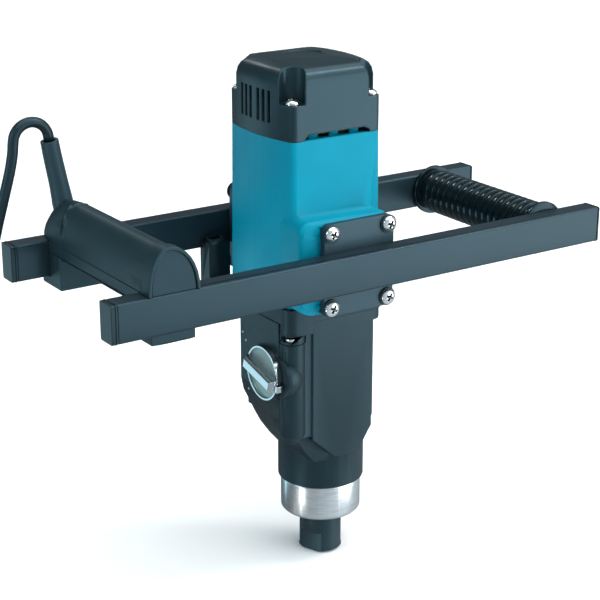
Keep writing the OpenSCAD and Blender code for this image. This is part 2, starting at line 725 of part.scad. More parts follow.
module neck_ring() {
    h = ring_z1 - ring_z0;
    color("#C9CDD0") difference() {
        union() {
            translate([0, 0, ring_z0 + 2]) cylinder(d = ring_d, h = h - 3, $fn = 96);
            translate([0, 0, ring_z0]) cylinder(d1 = ring_d - 4, d2 = ring_d, h = 2 + cut, $fn = 96);
            translate([0, 0, ring_z1 - 1 - cut])
                cylinder(d1 = ring_d, d2 = ring_d - 2, h = 1 + cut, $fn = 96);
            translate([0, 0, ring_z1 - 1])
                cylinder(r = lower_brg[1] - run_fit, h = lower_brg_z - gear_z0 + 1 - part_gap, $fn = 72);
        }
        translate([0, 0, ring_z0 - 1]) cylinder(d = nose_d + 2 * slide_gap, h = h + 10, $fn = 72);
        translate([0, 0, ring_z1 - 8]) cylinder(d = nose_d + 14 + run_fit, h = 20, $fn = 72);
    }
}

module oil_seal() {
    color("#15181A") translate([0, 0, ring_z1 - 8]) difference() {
        cylinder(d = nose_d + 14, h = 7.5, $fn = 72);
        translate([0, 0, -1]) cylinder(d = nose_d + 2 * run_fit, h = 10, $fn = 72);
        translate([0, 0, 4]) tube(nose_d / 2 + 5, nose_d / 2 + 2.5, 0, 5);
    }
}

// Shielded ball bearing drawn as one ring with a shallow groove on both faces
module bearing(b, z) {
    mid = (b[0] + b[1]) / 2;
    color("#B8BCC0") translate([0, 0, z]) difference() {
        cylinder(r = b[1], h = b[2], $fn = 72);
        translate([0, 0, -1]) cylinder(r = b[0] + run_fit, h = b[2] + 2);
        tube(mid + 1.2, mid - 1.2, -1, 1.5);
        tube(mid + 1.2, mid - 1.2, b[2] - 0.5, 1.5);
    }
}

module spindle_bearing_lower() { bearing(lower_brg, lower_brg_z); }
module spindle_bearing_upper() { bearing(upper_brg, upper_brg_z); }
module armature_bearing_lower() { at_motor() bearing(arm_brg, arm_brg_z); }
module armature_bearing_upper() { at_motor() bearing(arm_brg, arm_top_z - 0.5); }
module countershaft_bearings() {
    at_countershaft() {
        bearing(cs_brg, cs_brg_z);
        color("#B08D57") tube(cs_bush[1], cs_bush[0] + run_fit, gear_top_z, cs_bush[2]);
    }
}

// Coil sides stand in these slots, open to the bore
module coil_slots(grow) {
    h = 2 * core_h;
    for (sx = [-1, 1], sy = [-1, 1]) translate([sx * coil_x, sy * coil_y, h / 2])
        cube([coil_w + 2 * grow, coil_h + 2 * grow, h], center = true);
}

module field_core() {
    color("#7C8083") at_motor() difference() {
        translate([0, 0, core_z0 - 2]) cylinder(r = bore_r - seat_gap, h = core_h + 4, $fn = 96);
        translate([0, 0, core_z0 - 3]) cylinder(r = core_r + 0.8, h = core_h + 6, $fn = 72);
        translate([0, 0, core_z0 - 10]) coil_slots(part_gap);
    }
}

module field_coils() {
    z0 = core_z0 - coil_end;
    z1 = core_z0 + core_h + coil_end;
    color("#A4552A") at_motor() for (sy = [-1, 1]) {
        intersection() {
            translate([0, 0, z0]) coil_slots(0);
            translate([-30, sy > 0 ? 0 : -30, z0]) cube([60, 30, z1 - z0]);
        }
        intersection() {
            union() {
                tube(26, 18.5, z0, coil_end - 2 - part_gap);
                tube(26, 18.5, core_z0 + core_h + 2 + part_gap, coil_end - 2 - part_gap);
            }
            translate([-30, sy > 0 ? 5.5 : -30, z0]) cube([60, 24.5, z1 - z0]);
        }
    }
}

module fan_baffle() {
    color("#1D2123") at_motor() {
        tube(bore_r - seat_gap, 21, fan_z + fan_h + 2, 2);
        tube(bore_r - seat_gap, bore_r - 2, fan_z + fan_h + 2, 6);
    }
}

// Size of a carbon brush: width, height
brush = [6, 10];

module brush_holders() {
    z0 = seam_z - 4;
    color("#B5A642") at_motor() {
        tube(bore_r - seat_gap, 18, z0, 3);
        for (a = [90, 270]) rotate([0, 0, a]) difference() {
            translate([comm_r + 3, -5, z0 + 2]) cube([16, 10, brush_z + 6.5 - z0 - 2]);
            translate([comm_r, -brush[0] / 2 - run_fit, brush_z - brush[1] / 2 - run_fit])
                cube([18, brush[0] + 2 * run_fit, brush[1] + 2 * run_fit]);
        }
    }
}

module carbon_brushes() {
    color("#26282A") at_motor() for (a = [90, 270]) rotate([0, 0, a])
        translate([comm_r + part_gap, -brush[0] / 2, brush_z - brush[1] / 2]) cube([15, brush[0], brush[1]]);
}

// Duct that leads the motor lead from the rear rail into the gear housing cover
module lead_duct() {
    w = 17;
    y0 = flange_hy;
    x0 = -42.5 - w;
    color("#22292D") difference() {
        union() {
            translate([x0, rail_in - 12, gear_top_z + 1]) cube([w, 12, rail_z0 - gear_top_z + 4]);
            translate([x0 + w / 2, rail_in - 6, rail_z0 + 1]) cylinder(r = 6, h = 7);
            translate([x0 + 9, y0, gear_top_z + 1]) cube([w - 9, rail_in - 6 - y0, 9]);
        }
        translate([x0 + 4, rail_in - 9, gear_top_z + 3]) cube([w - 8, 6, rail_z0 - gear_top_z + 20]);
        translate([x0 + 11, y0 - 1, gear_top_z + 3]) cube([w - 13, 20, 5]);
    }
}

module rail_section(inset) {
    polygon(rounded(inset, inset, rail_w - inset, rail_h - inset, inset > 0 ? 0.8 : 1.5));
}

module rail(side) {
    x0 = -rail_reach + plug_left_len;
    len = rail_len - plug_left_len - plug_right_len;
    color("#3F4D56") difference() {
        translate([x0, side > 0 ? rail_in : -rail_out, rail_z0]) difference() {
            along_x(0, len) rail_section(0);
            along_x(-1, len + 1) rail_section(rail_wall);
        }
        for (x = handle_screw_x) translate([x, side * (rail_in + rail_w / 2), rail_z0 - 1])
            cylinder(d = handle_screw_d + 0.4, h = rail_h + 2, $fn = 24);
    }
}

// Extrudes an outline drawn in Y and Z along X, from x0 to x1
module along_x(x0, x1) {
    translate([x0, 0, 0]) rotate([90, 0, 90]) linear_extrude(x1 - x0) children();
}

module front_rail() { rail(-1); }
module rear_rail() { rail(1); }

module rail_end_plugs() {
    tongue = 12;
    color("#1E2529") for (y0 = [-rail_out, rail_in]) translate([0, y0, rail_z0]) {
        along_x(-rail_reach, -rail_reach + plug_left_len) rail_section(0);
        along_x(rail_len - rail_reach - plug_right_len, rail_len - rail_reach) rail_section(0);
        for (x = [-rail_reach + plug_left_len - cut, rail_len - rail_reach - plug_right_len - tongue + cut])
            along_x(x, x + tongue) rail_section(rail_wall + run_fit);
    }
}

module rail_plate(side) {
    hw = plate_w / 2;
    hh = plate_h / 2;
    color("#38444C") difference() {
        translate([plate_mid(side), side > 0 ? pad_y : -rail_in, rail_mid_z])
            along_y(0, plate_t) polygon(rounded(-hw, -hh, hw, hh, 5));
        at_bolts(side) translate([0, 0, -plate_t - 1]) cylinder(d = bolt_d + 2 * run_fit, h = plate_t + 2);
    }
}

module front_plate() { rail_plate(-1); }
module rear_plate() { rail_plate(1); }
module plate_bolts(side) {
    color("#D5D8DA") at_bolts(side) pan_screw(bolt_d, plate_t + 13, bolt_head_d, bolt_head_h);
}
module front_plate_bolts() { plate_bolts(-1); }
module rear_plate_bolts() { plate_bolts(1); }

// Half of an ellipse that leans to the left, above the rails
function handle_arc(grow, z0, sink = 0) = [for (i = [0:16]) let (a = 180 * i / 16)
    [hx + (cos(a) > 0 ? grip_right + grow : grip_left + grow) * cos(a),
        z0 + (grip_rise + grow - sink) * sin(a)]];

// Section of the lower shell between the rails
function lower_outline() = let (x0 = handle_x0, x1 = handle_x1, z0 = hz - grip_drop, r = 6)
    concat([[x1, hz], [x0, hz]],
        [for (i = [0:4]) [x0 + r - r * cos(22.5 * i), z0 + r - r * sin(22.5 * i)]],
        [for (i = [0:4]) [x1 - r + r * sin(22.5 * i), z0 + r - r * cos(22.5 * i)]]);

module handle_upper_shell() {
    end = rail_in - 3;
    shell_mouth = [[handle_x0 + grip_wall, hz - 5], [handle_x1 - grip_wall, hz - 5]];
    // Distance from the end, loss of height and loss of width
    dome = [[dome_len + 0.1, 0, 0], [22, 1, 0], [15, 3.5, 0.4], [9, 7.5, 1.2], [4, 12.5, 2.4], [0, 17.5, 4]];
    color("#333F47") difference() {
        union() {
            along_y(-rail_out, rail_out - dome_len) polygon(handle_arc(0, hz));
            // Lip around the front end
            hull() {
                along_y(-rail_out, 8.5 - rail_out) polygon(handle_arc(lip, hz));
                along_y(10 - rail_out, 14 - rail_out) polygon(handle_arc(0, hz));
            }
            // Dome at the rear end, under the cord guard
            hull() for (d = dome) along_y(rail_out - d[0] - 0.1, rail_out - d[0])
                polygon(handle_arc(-d[2], hz, d[1] - d[2]));
        }
        along_y(-rail_out - 1, 1 - rail_out) polygon(handle_arc(lip - 2.2, hz));
        // Inside of the shell, lower under the dome
        along_y(-end, rail_out - dome_len - 4) polygon(concat(handle_arc(-grip_wall, hz), shell_mouth));
        along_y(-end, end) polygon(concat(handle_arc(-grip_wall, hz, 4), shell_mouth));
        for (x = handle_screw_x, s = [-1, 1]) translate([x, s * (rail_in + rail_w / 2), hz - 1])
            cylinder(d = handle_screw_d + 2 * run_fit, h = 9, $fn = 24);
        translate([handle_x1 - 12, lock_y, lock_z]) rotate([0, 90, 0])
            cylinder(r = lock_r + part_gap, h = 30);
        // Socket of the cord guard
        translate(guard_route[0]) rotate([0, -guard_lean, 0]) cylinder(d = guard_d + 2 * run_fit, h = 40);
    }
}

module handle_lower_shell() {
    leg_x0 = handle_x0 + 0.5;
    leg_x1 = handle_x1 - 1.5;
    foot_z = rail_z0 - foot_drop;
    color("#333F47") difference() {
        union() {
            along_y(-rail_in, rail_in) polygon(lower_outline());
            for (s = [-1, 1]) let (leg_y = rail_in - (s > 0 ? rear_leg_t : front_leg_t))
                mirror([0, s > 0 ? 0 : 1, 0]) {
                    translate([leg_x0, leg_y, foot_z])
                        cube([leg_x1 - leg_x0, rail_in - leg_y, hz - foot_z - 6]);
                    along_x(leg_x0, leg_x1)
                        polygon([[leg_y, rail_z0], [leg_y, foot_z], [foot_y, foot_z], [foot_y, rail_z0]]);
                }
        }
        difference() {
            along_y(-rail_in + 4, rail_in - 4) lower_cavity();
            // Blocks above the legs stay solid
            for (s = [-1, 1]) translate([leg_x0, s > 0 ? rail_in - 6.5 : -rail_in, foot_z])
                cube([leg_x1 - leg_x0, 6.5, 60]);
        }
        translate([trigger_x - trigger_w / 2 - slide_gap, trigger_y0 - slide_gap, hz - grip_drop - 1])
            cube([trigger_w + 2 * slide_gap, trigger_y1 - trigger_y0 + 2 * slide_gap, 20]);
        for (x = handle_screw_x, s = [-1, 1]) translate([x, s * (rail_in + rail_w / 2), foot_z - 5])
            cylinder(d = handle_screw_d + 2 * run_fit, h = 30, $fn = 24);
        for (x = handle_screw_x, s = [-1, 1]) translate([x, s * (rail_in + rail_w / 2), foot_z - 5])
            cylinder(d = 9, h = 7, $fn = 24);
    }
}

module lower_cavity() {
    polygon([[handle_x1 - grip_wall, hz + 1], [handle_x0 + grip_wall, hz + 1],
        [handle_x0 + grip_wall, floor_z + 3], [handle_x0 + grip_wall + 3, floor_z],
        [handle_x1 - grip_wall - 3, floor_z], [handle_x1 - grip_wall, floor_z + 3]]);
}

module handle_screws() {
    z = rail_z0 - foot_drop + 2;
    color("#AEB3B7") for (x = handle_screw_x, s = [-1, 1])
        translate([x, s * (rail_in + rail_w / 2), z]) mirror([0, 0, 1])
            pan_screw(handle_screw_d, hz - z + 7, 8, 2.8);
}

module switch_body() {
    color("#1A1D1F") difference() {
        translate([trigger_x - 7.5, trigger_y0 + 1, hz + 0.5]) cube([15, 50, 17]);
        translate([trigger_x, (trigger_y0 + trigger_y1) / 2, hz - 1])
            cylinder(r = post_r + slide_gap, h = 14);
        translate([lock_x - lock_travel - part_gap, lock_y, lock_z]) rotate([0, 90, 0])
            cylinder(r = lock_r + lock_collar + slide_gap, h = 20);
    }
    // Rails of the switch stand on the floor of the lower shell
    color("#1A1D1F") for (y = [trigger_y1 + 2, trigger_y1 + 12])
        translate([trigger_x - 6, y, floor_z]) cube([12, 3, hz + 1 - floor_z]);
}

module cord_clamp() {
    y = 34;
    color("#23282B") difference() {
        translate([hx - 6.5, y, floor_z]) cube([18.5, 9, 13]);
        translate([hx + 2, y - 1, floor_z + 7]) rotate([-90, 0, 0]) cylinder(d = cord_d, h = 12, $fn = 24);
        translate([hx - 7.5, y - 1, floor_z + 6.8]) cube([20.5, 11, 0.4]);
    }
    color("#AEB3B7") for (x = [hx - 3.8, hx + 8.7]) translate([x, y + 4.5, floor_z + 13]) pan_head(5, 1.8);
}

module pan_head(d, h) {
    cylinder(d = d, h = h, $fn = 24);
}

module cord_guard() {
    n = len(guard_route) - 1;
    radii = [for (i = [0:n]) (guard_d + (guard_tip_d - guard_d) * i / n) / 2];
    color("#30393F") sweep(guard_route, radii, 16, [0, 1, 0]);
}

module side_tube() {
    color("#8D9397") translate([side_x, rail_in, rail_mid_z]) rotate([90, 0, 0])
        tube(side_tube_d / 2, side_tube_d / 2 - 2, 0, rail_gap);
}

module side_grip() {
    h = rail_gap - 2 * part_gap;
    flange = 3;
    neck = 5;
    pitch = (h - 2 * (flange + neck)) / rib_n;
    bore = side_tube_d / 2 + run_fit;
    edge = side_flange_d / 2;
    base = side_d / 2 - rib_h;
    top = base + rib_h;
    ribs = [for (i = [0:rib_n - 1]) let (z = flange + neck + i * pitch)
        each [[base, z], [top, z + pitch * 0.2], [top, z + pitch * 0.6], [base, z + pitch * 0.8]]];
    color("#252D31") translate([side_x, rail_in - part_gap, rail_mid_z]) rotate([90, 0, 0])
        rotate_extrude($fn = 72) polygon(concat([[bore, 0], [edge, 0], [edge, flange], [base, flange]],
            ribs, [[base, h - flange], [edge, h - flange], [edge, h], [bore, h]]));
}

module spindle() {
    top = upper_brg_z + upper_brg[2] + 0.4;
    step = lower_brg_z + lower_brg[2] + 1.5;
    color("#23282B") difference() {
        union() {
            cylinder(d1 = nose_d - 3, d2 = nose_d, h = 1.5, $fn = 72);
            translate([0, 0, 1.5 - cut]) cylinder(d = nose_d, h = lower_brg_z - 1.5 - part_gap, $fn = 72);
            cylinder(r = lower_brg[0], h = step);
            cylinder(r = gear_seat_r + 1, h = fast_z);
            cylinder(r = gear_seat_r, h = slow_z + gear_w + 2.5);
            cylinder(r = upper_brg[0] + 2, h = upper_brg_z - part_gap);
            cylinder(r = upper_brg[0], h = top);
        }
        translate([0, 0, -1]) cylinder(d = thread_d, h = thread_depth + 1);
        for (a = [0, 180]) rotate([0, 0, a + flats_turn]) translate([-nose_d, flats_w / 2, -1])
            cube([2 * nose_d, nose_d, flats_h + 1]);
        tube(gear_seat_r + 2, gear_seat_r - 0.8, slow_z + gear_w + part_gap / 2, 1.5);
    }
}

module seated_gear(m, z, turn) {
    difference() {
        spur_gear(m, z, gear_w, turn);
        translate([0, 0, -1]) cylinder(r = gear_seat_r + run_fit, h = gear_w + 2);
    }
}

module slow_spindle_gear() {
    color("#8A8F93") translate([0, 0, slow_z]) seated_gear(slow_module, slow_wheel_teeth, cs_angle);
}

module fast_spindle_gear() {
    color("#9A9FA3") translate([0, 0, fast_z]) seated_gear(fast_module, fast_wheel_teeth, cs_angle);
}

module gear_spacer() {
    gap = slow_z - fast_z - gear_w;
    color("#B8BCC0") tube(gear_seat_r + 3, gear_seat_r + run_fit, slow_z - gap + cut, gap - 2 * cut);
}

module spindle_circlip() {
    z = slow_z + gear_w + part_gap / 2 + run_fit;
    color("#4A4F52") difference() {
        tube(gear_seat_r + 2, gear_seat_r - 0.8 + run_fit, z, 1.4);
        translate([0, -2.5, z - 1]) cube([20, 5, 4]);
    }
}

module countershaft() {
    hex_z = pocket_floor_z + part_gap;
    top = gear_top_z + cs_bush[2] - 0.5;
    color("#8A8F93") at_countershaft() {
        translate([0, 0, cs_brg_z + 0.4]) cylinder(r = cs_brg[0], h = hex_z - cs_brg_z);
        translate([0, 0, hex_z]) cylinder(r = hex_r, h = hex_top_z - hex_z, $fn = 6);
        translate([0, 0, hex_z]) cylinder(r = cluster_neck_r, h = fast_pinion_z - hex_z - part_gap);
        translate([0, 0, hex_top_z - cut]) cylinder(r = cs_brg[0], h = top - hex_top_z + cut);
    }
}

module countershaft_wheel() {
    color("#9A9FA3") at_countershaft() translate([0, 0, wheel_z]) difference() {
        spur_gear(motor_module, wheel_teeth, gear_w, gap_turn(motor_dir, wheel_teeth));
        translate([0, 0, -1]) cylinder(r = cs_bush[0] + run_fit, h = gear_w + 2);
    }
}

module sliding_cluster() {
    color("#A6ABAF") at_countershaft() difference() {
        union() {
            translate([0, 0, fast_pinion_z])
                spur_gear(fast_module, fast_teeth, gear_w, gap_turn(cs_angle, fast_teeth));
            translate([0, 0, fast_pinion_z]) cylinder(r = cluster_neck_r, h = slow_z - fast_pinion_z + 1);
            translate([0, 0, slow_z])
                spur_gear(slow_module, slow_teeth, gear_w + part_gap + cut, gap_turn(cs_angle, slow_teeth));
            translate([0, 0, collar_z]) cylinder(r = collar_r, h = collar_w);
            translate([0, 0, collar_z]) cylinder(r = groove_r, h = groove_w + 2 * collar_w);
            translate([0, 0, collar_z + collar_w + groove_w]) cylinder(r = collar_r, h = collar_w);
        }
        translate([0, 0, fast_pinion_z - 1]) cylinder(r = hex_r + 2 * run_fit, h = 60, $fn = 6);
    }
}

module armature_shaft() {
    r = arm_brg[0];
    color("#8A8F93") at_motor() {
        translate([0, 0, pinion_z0])
            spur_gear(motor_module, motor_teeth, pinion_z1 - pinion_z0 + cut, motor_dir);
        translate([0, 0, pinion_z1]) cylinder(r = r, h = arm_top_z + arm_brg[2] + 2 - pinion_z1);
        translate([0, 0, arm_brg_z + arm_brg[2] + part_gap]) cylinder(r = r + 1.5, h = 3);
        translate([0, 0, arm_top_z - 3.8]) cylinder(r = r + 1.5, h = 3);
    }
}

module on_shaft(h) {
    difference() {
        children();
        translate([0, 0, -1]) cylinder(r = arm_brg[0] + run_fit, h = h + 2);
    }
}

module armature_core() {
    n = 12;
    color("#6E7376") at_motor() translate([0, 0, core_z0]) on_shaft(core_h) difference() {
        cylinder(r = core_r, h = core_h, $fn = 72);
        for (i = [0:n - 1]) rotate([0, 0, 360 * i / n]) translate([core_r - 3.4, -0.9, -1])
            cube([6, 1.8, core_h + 2]);
    }
}

module armature_coils() {
    color("#A4552A") at_motor() {
        translate([0, 0, core_z0 - arm_coil_h]) on_shaft(arm_coil_h)
            cylinder(r1 = arm_coil_end_r, r2 = arm_coil_r, h = arm_coil_h - run_fit);
        translate([0, 0, core_z0 + core_h + run_fit]) on_shaft(arm_coil_h)
            cylinder(r1 = arm_coil_r, r2 = arm_coil_end_r, h = arm_coil_h);
    }
}

module commutator() {
    n = 24;
    color("#B87333") at_motor() translate([0, 0, comm_z0]) on_shaft(comm_h) difference() {
        cylinder(r = comm_r, h = comm_h, $fn = 72);
        for (i = [0:n - 1]) rotate([0, 0, 360 * i / n]) translate([comm_r - 0.8, -0.25, -1])
            cube([2, 0.5, comm_h - 2]);
    }
}

module cooling_fan() {
    n = 9;
    r = bore_r - 2.6;
    color("#3B4449") at_motor() translate([0, 0, fan_z + 1.8]) on_shaft(fan_h) {
        cylinder(r = r, h = 1.6, $fn = 72);
        cylinder(r = 9, h = fan_h - 2);
        intersection() {
            cylinder(r = r, h = fan_h - 1.8, $fn = 72);
            for (i = [0:n - 1]) rotate([0, 0, 360 * i / n]) translate([7, -0.8, 0]) cube([r, 1.6, fan_h - 2]);
        }
    }
}

module speed_knob() {
    disc = -knob_face - part_gap;
    stem = cs[0] - disc - collar_r - slide_gap;
    tip = cs[0] - disc - groove_r - slide_gap;
    color("#C8CCD0") translate([disc, knob_y, knob_z]) rotate([0, -90, 0]) {
        difference() {
            cylinder(d = knob_d, h = knob_t, $fn = 72);
            translate([0, 0, knob_t - knob_dish]) cylinder(d = knob_d - 3, h = knob_t, $fn = 72);
        }
        // Finger bar with a sloping top and the pointer at its lower end
        rotate([0, 0, 76]) {
            hull() {
                translate([1 - knob_d / 2, -4.5, knob_t - knob_dish - cut])
                    cube([knob_d - 2, 9, knob_dish + 2]);
                translate([3 - knob_d / 2, -3, knob_t]) cube([knob_d - 6, 6, knob_bar_h]);
            }
            translate([-knob_d / 2 - 3, -2.5, 0.5]) cube([6, 5, knob_t + 1]);
        }
        translate([0, 0, -stem]) cylinder(r = knob_stem_r, h = stem + cut);
        translate([0, 0, -stem]) cylinder(r = pin_throw + pin_d / 2 + 0.6, h = pin_disc_t);
        translate([-pin_throw, 0, -tip]) cylinder(d = pin_d, h = tip - stem + cut);
    }
}

module trigger() {
    mid = (trigger_y0 + trigger_y1) / 2;
    z0 = hz - grip_drop - trigger_drop;
    color("#1C2124") {
        along_x(trigger_x - trigger_w / 2, trigger_x + trigger_w / 2)
            polygon(rounded(trigger_y0, z0, trigger_y1, floor_z + 1, 2));
        translate([trigger_x, mid, floor_z]) cylinder(r = post_r, h = 12);
        translate([trigger_x - trigger_w / 2 - 1.8, trigger_y0 - 1, floor_z + part_gap])
            cube([trigger_w + 3.6, trigger_y1 - trigger_y0 + 2, 1.5]);
    }
}

module lock_button() {
    color("#1C2124") translate([lock_x, lock_y, lock_z]) rotate([0, 90, 0]) {
        cylinder(r = lock_r + lock_collar, h = lock_collar);
        cylinder(r = lock_r, h = handle_x1 - lock_x + lock_travel + 0.8);
    }
}

module cord_lead() {
    color("#2B3338") sweep(cord_route, same(cord_route, cord_r), 8, [0, 1, 0]);
}

// Turn number t runs inwards on the floor, climbs one layer at the middle and runs out again
rings_per_turn = 24;
climb_turns = 0.5;
function climb(t) = let (s = min(1, max(0, (t - coil_turns / 2) / climb_turns + 0.5))) s * s * (3 - 2 * s);
function coil_at(t) = let (r = coil_r - layer * min(t, coil_turns - t), a = 90 + 360 * t)
    [coil_mid[0] + r * cos(a), coil_mid[1] + r * sin(a), cord_r + layer * climb(t)];
coil_path = concat(
    [[coil_mid[0] + cord_d, cord_y, cord_r]],
    [for (i = [0:coil_turns * rings_per_turn]) coil_at(i / rings_per_turn)],
    [[coil_mid[0] - cord_d, cord_y, cord_r + layer]]);

// Least distance between two points of the coil that lie more than half a turn apart
coil_self_gap = min([for (i = [0:len(coil_path) - 1]) min([for (j = [0:len(coil_path) - 1])
    abs(i - j) < rings_per_turn / 2 ? 1000 : norm(coil_path[i] - coil_path[j]) - cord_d])]);
echo(coil_self_gap = coil_self_gap);

module cord_coil() {
    color("#2B3338") sweep(coil_path, same(coil_path, cord_r), 6, [0, 0, 1]);
}

module cord_tail() {
    color("#2B3338") sweep(tail_route, same(tail_route, cord_r), 8, [0, 0, 1]);
}

module at_plug() {
    end = tail_route[4];
    dir = end - tail_route[3];
    translate(end) rotate([0, 0, atan2(dir[1], dir[0])]) children();
}

module pin_shanks() {
    for (s = [-1, 1]) translate([plug_len - 4, s * pin_gap / 2, 0]) rotate([0, 90, 0])
        cylinder(d = plug_pin_d, h = pin_len + 4, $fn = 24);
}

module plug_body() {
    h = 2 * tail_z;
    len = plug_len - plug_neck;
    color("#1E2427") at_plug() difference() {
        union() {
            translate([plug_neck, 0, -tail_z]) linear_extrude(h) polygon([for (i = [0:31]) let (a = 11.25 * i)
                [len / 2 * (1 + cos(a)) - len * 0.02 * cos(2 * a), plug_w / 2 * sin(a)]]);
            rotate([0, 90, 0]) cylinder(r1 = cord_r + 1.2, r2 = tail_z - 1, h = plug_neck + 4, $fn = 32);
        }
        pin_shanks();
    }
}

module plug_pins() { color("#D5D8DA") at_plug() pin_shanks(); }

motor_housing();
top_cover();
top_cover_screws();
gear_housing();
gear_housing_cover();
gear_housing_screws();
gear_plate();
neck_ring();
oil_seal();
spindle_bearing_lower();
spindle_bearing_upper();
armature_bearing_lower();
armature_bearing_upper();
countershaft_bearings();
field_core();
field_coils();
fan_baffle();
brush_holders();
carbon_brushes();
lead_duct();
front_rail();
rear_rail();
rail_end_plugs();
front_plate();
rear_plate();
front_plate_bolts();
rear_plate_bolts();
handle_upper_shell();
handle_lower_shell();
handle_screws();
switch_body();
cord_clamp();
cord_guard();
side_tube();
side_grip();
spindle();
slow_spindle_gear();
fast_spindle_gear();
gear_spacer();
spindle_circlip();
countershaft();
countershaft_wheel();
sliding_cluster();
armature_shaft();
armature_core();
armature_coils();
commutator();
cooling_fan();
speed_knob();
trigger();
lock_button();
cord_lead();
cord_coil();
cord_tail();
plug_body();
plug_pins();
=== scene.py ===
# %% [markdown]
# # Dressing a mixing drill
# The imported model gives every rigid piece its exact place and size. This lesson puts a camera where the
# photographer stood, lays out the cord, makes the finishes, swaps the plain solids that show for finer pieces,
# and lights the whole. Blender works in metres, and the sizes of the studio are given in metres too. Sizes of
# the drill are written in millimetres, as on a drawing, and multiplied by MM where a mesh is made.

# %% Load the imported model
import json
import math

import bmesh
import bpy
from mathutils import Matrix, Vector


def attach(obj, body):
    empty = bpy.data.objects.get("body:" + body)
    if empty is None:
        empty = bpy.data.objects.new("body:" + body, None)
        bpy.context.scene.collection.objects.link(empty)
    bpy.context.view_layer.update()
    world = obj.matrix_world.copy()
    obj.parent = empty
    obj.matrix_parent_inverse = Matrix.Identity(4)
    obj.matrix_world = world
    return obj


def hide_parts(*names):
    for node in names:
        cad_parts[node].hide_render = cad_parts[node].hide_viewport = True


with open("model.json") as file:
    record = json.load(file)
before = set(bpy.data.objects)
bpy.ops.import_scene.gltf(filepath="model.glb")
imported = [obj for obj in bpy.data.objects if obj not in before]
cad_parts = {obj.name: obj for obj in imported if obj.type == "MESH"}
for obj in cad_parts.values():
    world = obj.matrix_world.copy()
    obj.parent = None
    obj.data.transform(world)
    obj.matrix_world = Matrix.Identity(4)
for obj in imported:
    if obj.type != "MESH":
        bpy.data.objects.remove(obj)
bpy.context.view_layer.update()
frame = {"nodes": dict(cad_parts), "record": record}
MM = 0.001
nodes = frame["nodes"]
packed_finishes = len(bpy.data.materials)

# %% [markdown]
# ## Camera
# The lines of the two rails in the photograph meet far to the right, which fixes how the camera was turned and
# tilted. It stood 1.2 m away with a long lens, so the far rail looks hardly smaller than the near one.

# %% Camera at the photographer's place
CAMERA_PLACE = Vector((-0.6023, -0.8800, 0.5555))
CAMERA_HEADING, CAMERA_TILT = 33.6, 19.0
LENS_MM, SENSOR_MM = 97.39, 36.0

lens = bpy.data.cameras.new("photo_camera")
lens.lens, lens.sensor_width, lens.sensor_fit = LENS_MM, SENSOR_MM, "HORIZONTAL"
lens.clip_start, lens.clip_end = 0.05, 50
camera = bpy.data.objects.new("photo_camera", lens)
camera.location = CAMERA_PLACE
camera.rotation_euler = (math.radians(90 - CAMERA_TILT), 0, math.radians(-CAMERA_HEADING))
bpy.context.scene.collection.objects.link(camera)
bpy.context.scene.camera = camera
print("camera is", round(CAMERA_PLACE.length, 3), "m from the spindle tip")

# %% [markdown]
# ## Helpers for meshes
# A mesh in Blender is a list of points and a list of faces. One helper turns such lists into an object. Another
# joins rings of points by bands of faces, which is how tubes, domes and turned parts are made, and the third
# gives the angles at which the points of a ring stand.

# %% From points and faces to an object
def mesh_object(name, points, faces):
    mesh = bpy.data.meshes.new(name)
    mesh.from_pydata([tuple(p) for p in points], [], faces)
    mesh.validate()
    mesh.polygons.foreach_set("use_smooth", [True] * len(mesh.polygons))
    piece = bpy.data.objects.new(name, mesh)
    bpy.context.scene.collection.objects.link(piece)
    return piece


def circle_angles(sides):
    return [2 * math.pi * k / sides for k in range(sides)]


def loft(rings, closed_ends=True):
    """Faces between rings of equally many points."""
    count = len(rings[0])
    points = [p for ring in rings for p in ring]
    faces = []
    for i in range(len(rings) - 1):
        for k in range(count):
            a, b = i * count + k, i * count + (k + 1) % count
            faces.append((a, b, b + count, a + count))
    if closed_ends:
        faces.append(tuple(reversed(range(count))))
        faces.append(tuple(range((len(rings) - 1) * count, len(rings) * count)))
    return points, faces


# %% [markdown]
# ## The cord
# A mixer of this size has a limp rubber-sheathed two-core cord of about 7 mm. It leaves the guard upwards,
# arches over and hangs to the floor. The length that the photograph doesn't show is wound as for storage: a
# coil of eight turns in two layers on the floor, spiralling inwards below and outwards above. The points are
# those of the solids.

# %% Route of the cord
CORD_D, COIL_GAP = 7.2, 0.6
COIL_R, COIL_TURNS, CLIMB_TURNS = 56, 8, 0.5
CORD_Y = 66
CORD_R, LAYER = CORD_D / 2, CORD_D + COIL_GAP
COIL_MID = (-292, CORD_Y - COIL_R)
hang_points = [
    (-168.82, 311.1), (-169.3, 314), (-170.3, 317.4), (-172.4, 320.6), (-175.3, 322.9), (-179.2, 324.3),
    (-183.3, 324.4), (-187.4, 323), (-190.9, 320.3), (-193.2, 316.4), (-194.1, 312), (-195, 305),
    (-197.5, 294), (-203, 276), (-210, 253), (-217.5, 222), (-223, 182), (-227, 140), (-230.2, 102),
    (-234, 68), (-240, 41), (-248.5, 20.5), (-258.5, 8.8), (-269, CORD_R + 1), (-277, CORD_R)]
hang_route = [Vector((x, CORD_Y, z)) * MM for x, z in hang_points]
tail_route = [Vector((COIL_MID[0] - dx, CORD_Y - dy, CORD_R + LAYER)) * MM
    for dx, dy in ((CORD_D, 0), (17, 0), (27, 1), (42, 3), (57, 4))]


def coil_point(turn):
    """The cord climbs to the second layer within half a turn, after half of the turns."""
    rise = min(1, max(0, (turn - COIL_TURNS / 2) / CLIMB_TURNS + 0.5))
    radius = COIL_R - LAYER * min(turn, COIL_TURNS - turn)
    angle = math.radians(90 + 360 * turn)
    height = CORD_R + LAYER * rise * rise * (3 - 2 * rise)
    return Vector((COIL_MID[0] + radius * math.cos(angle), COIL_MID[1] + radius * math.sin(angle), height)) * MM


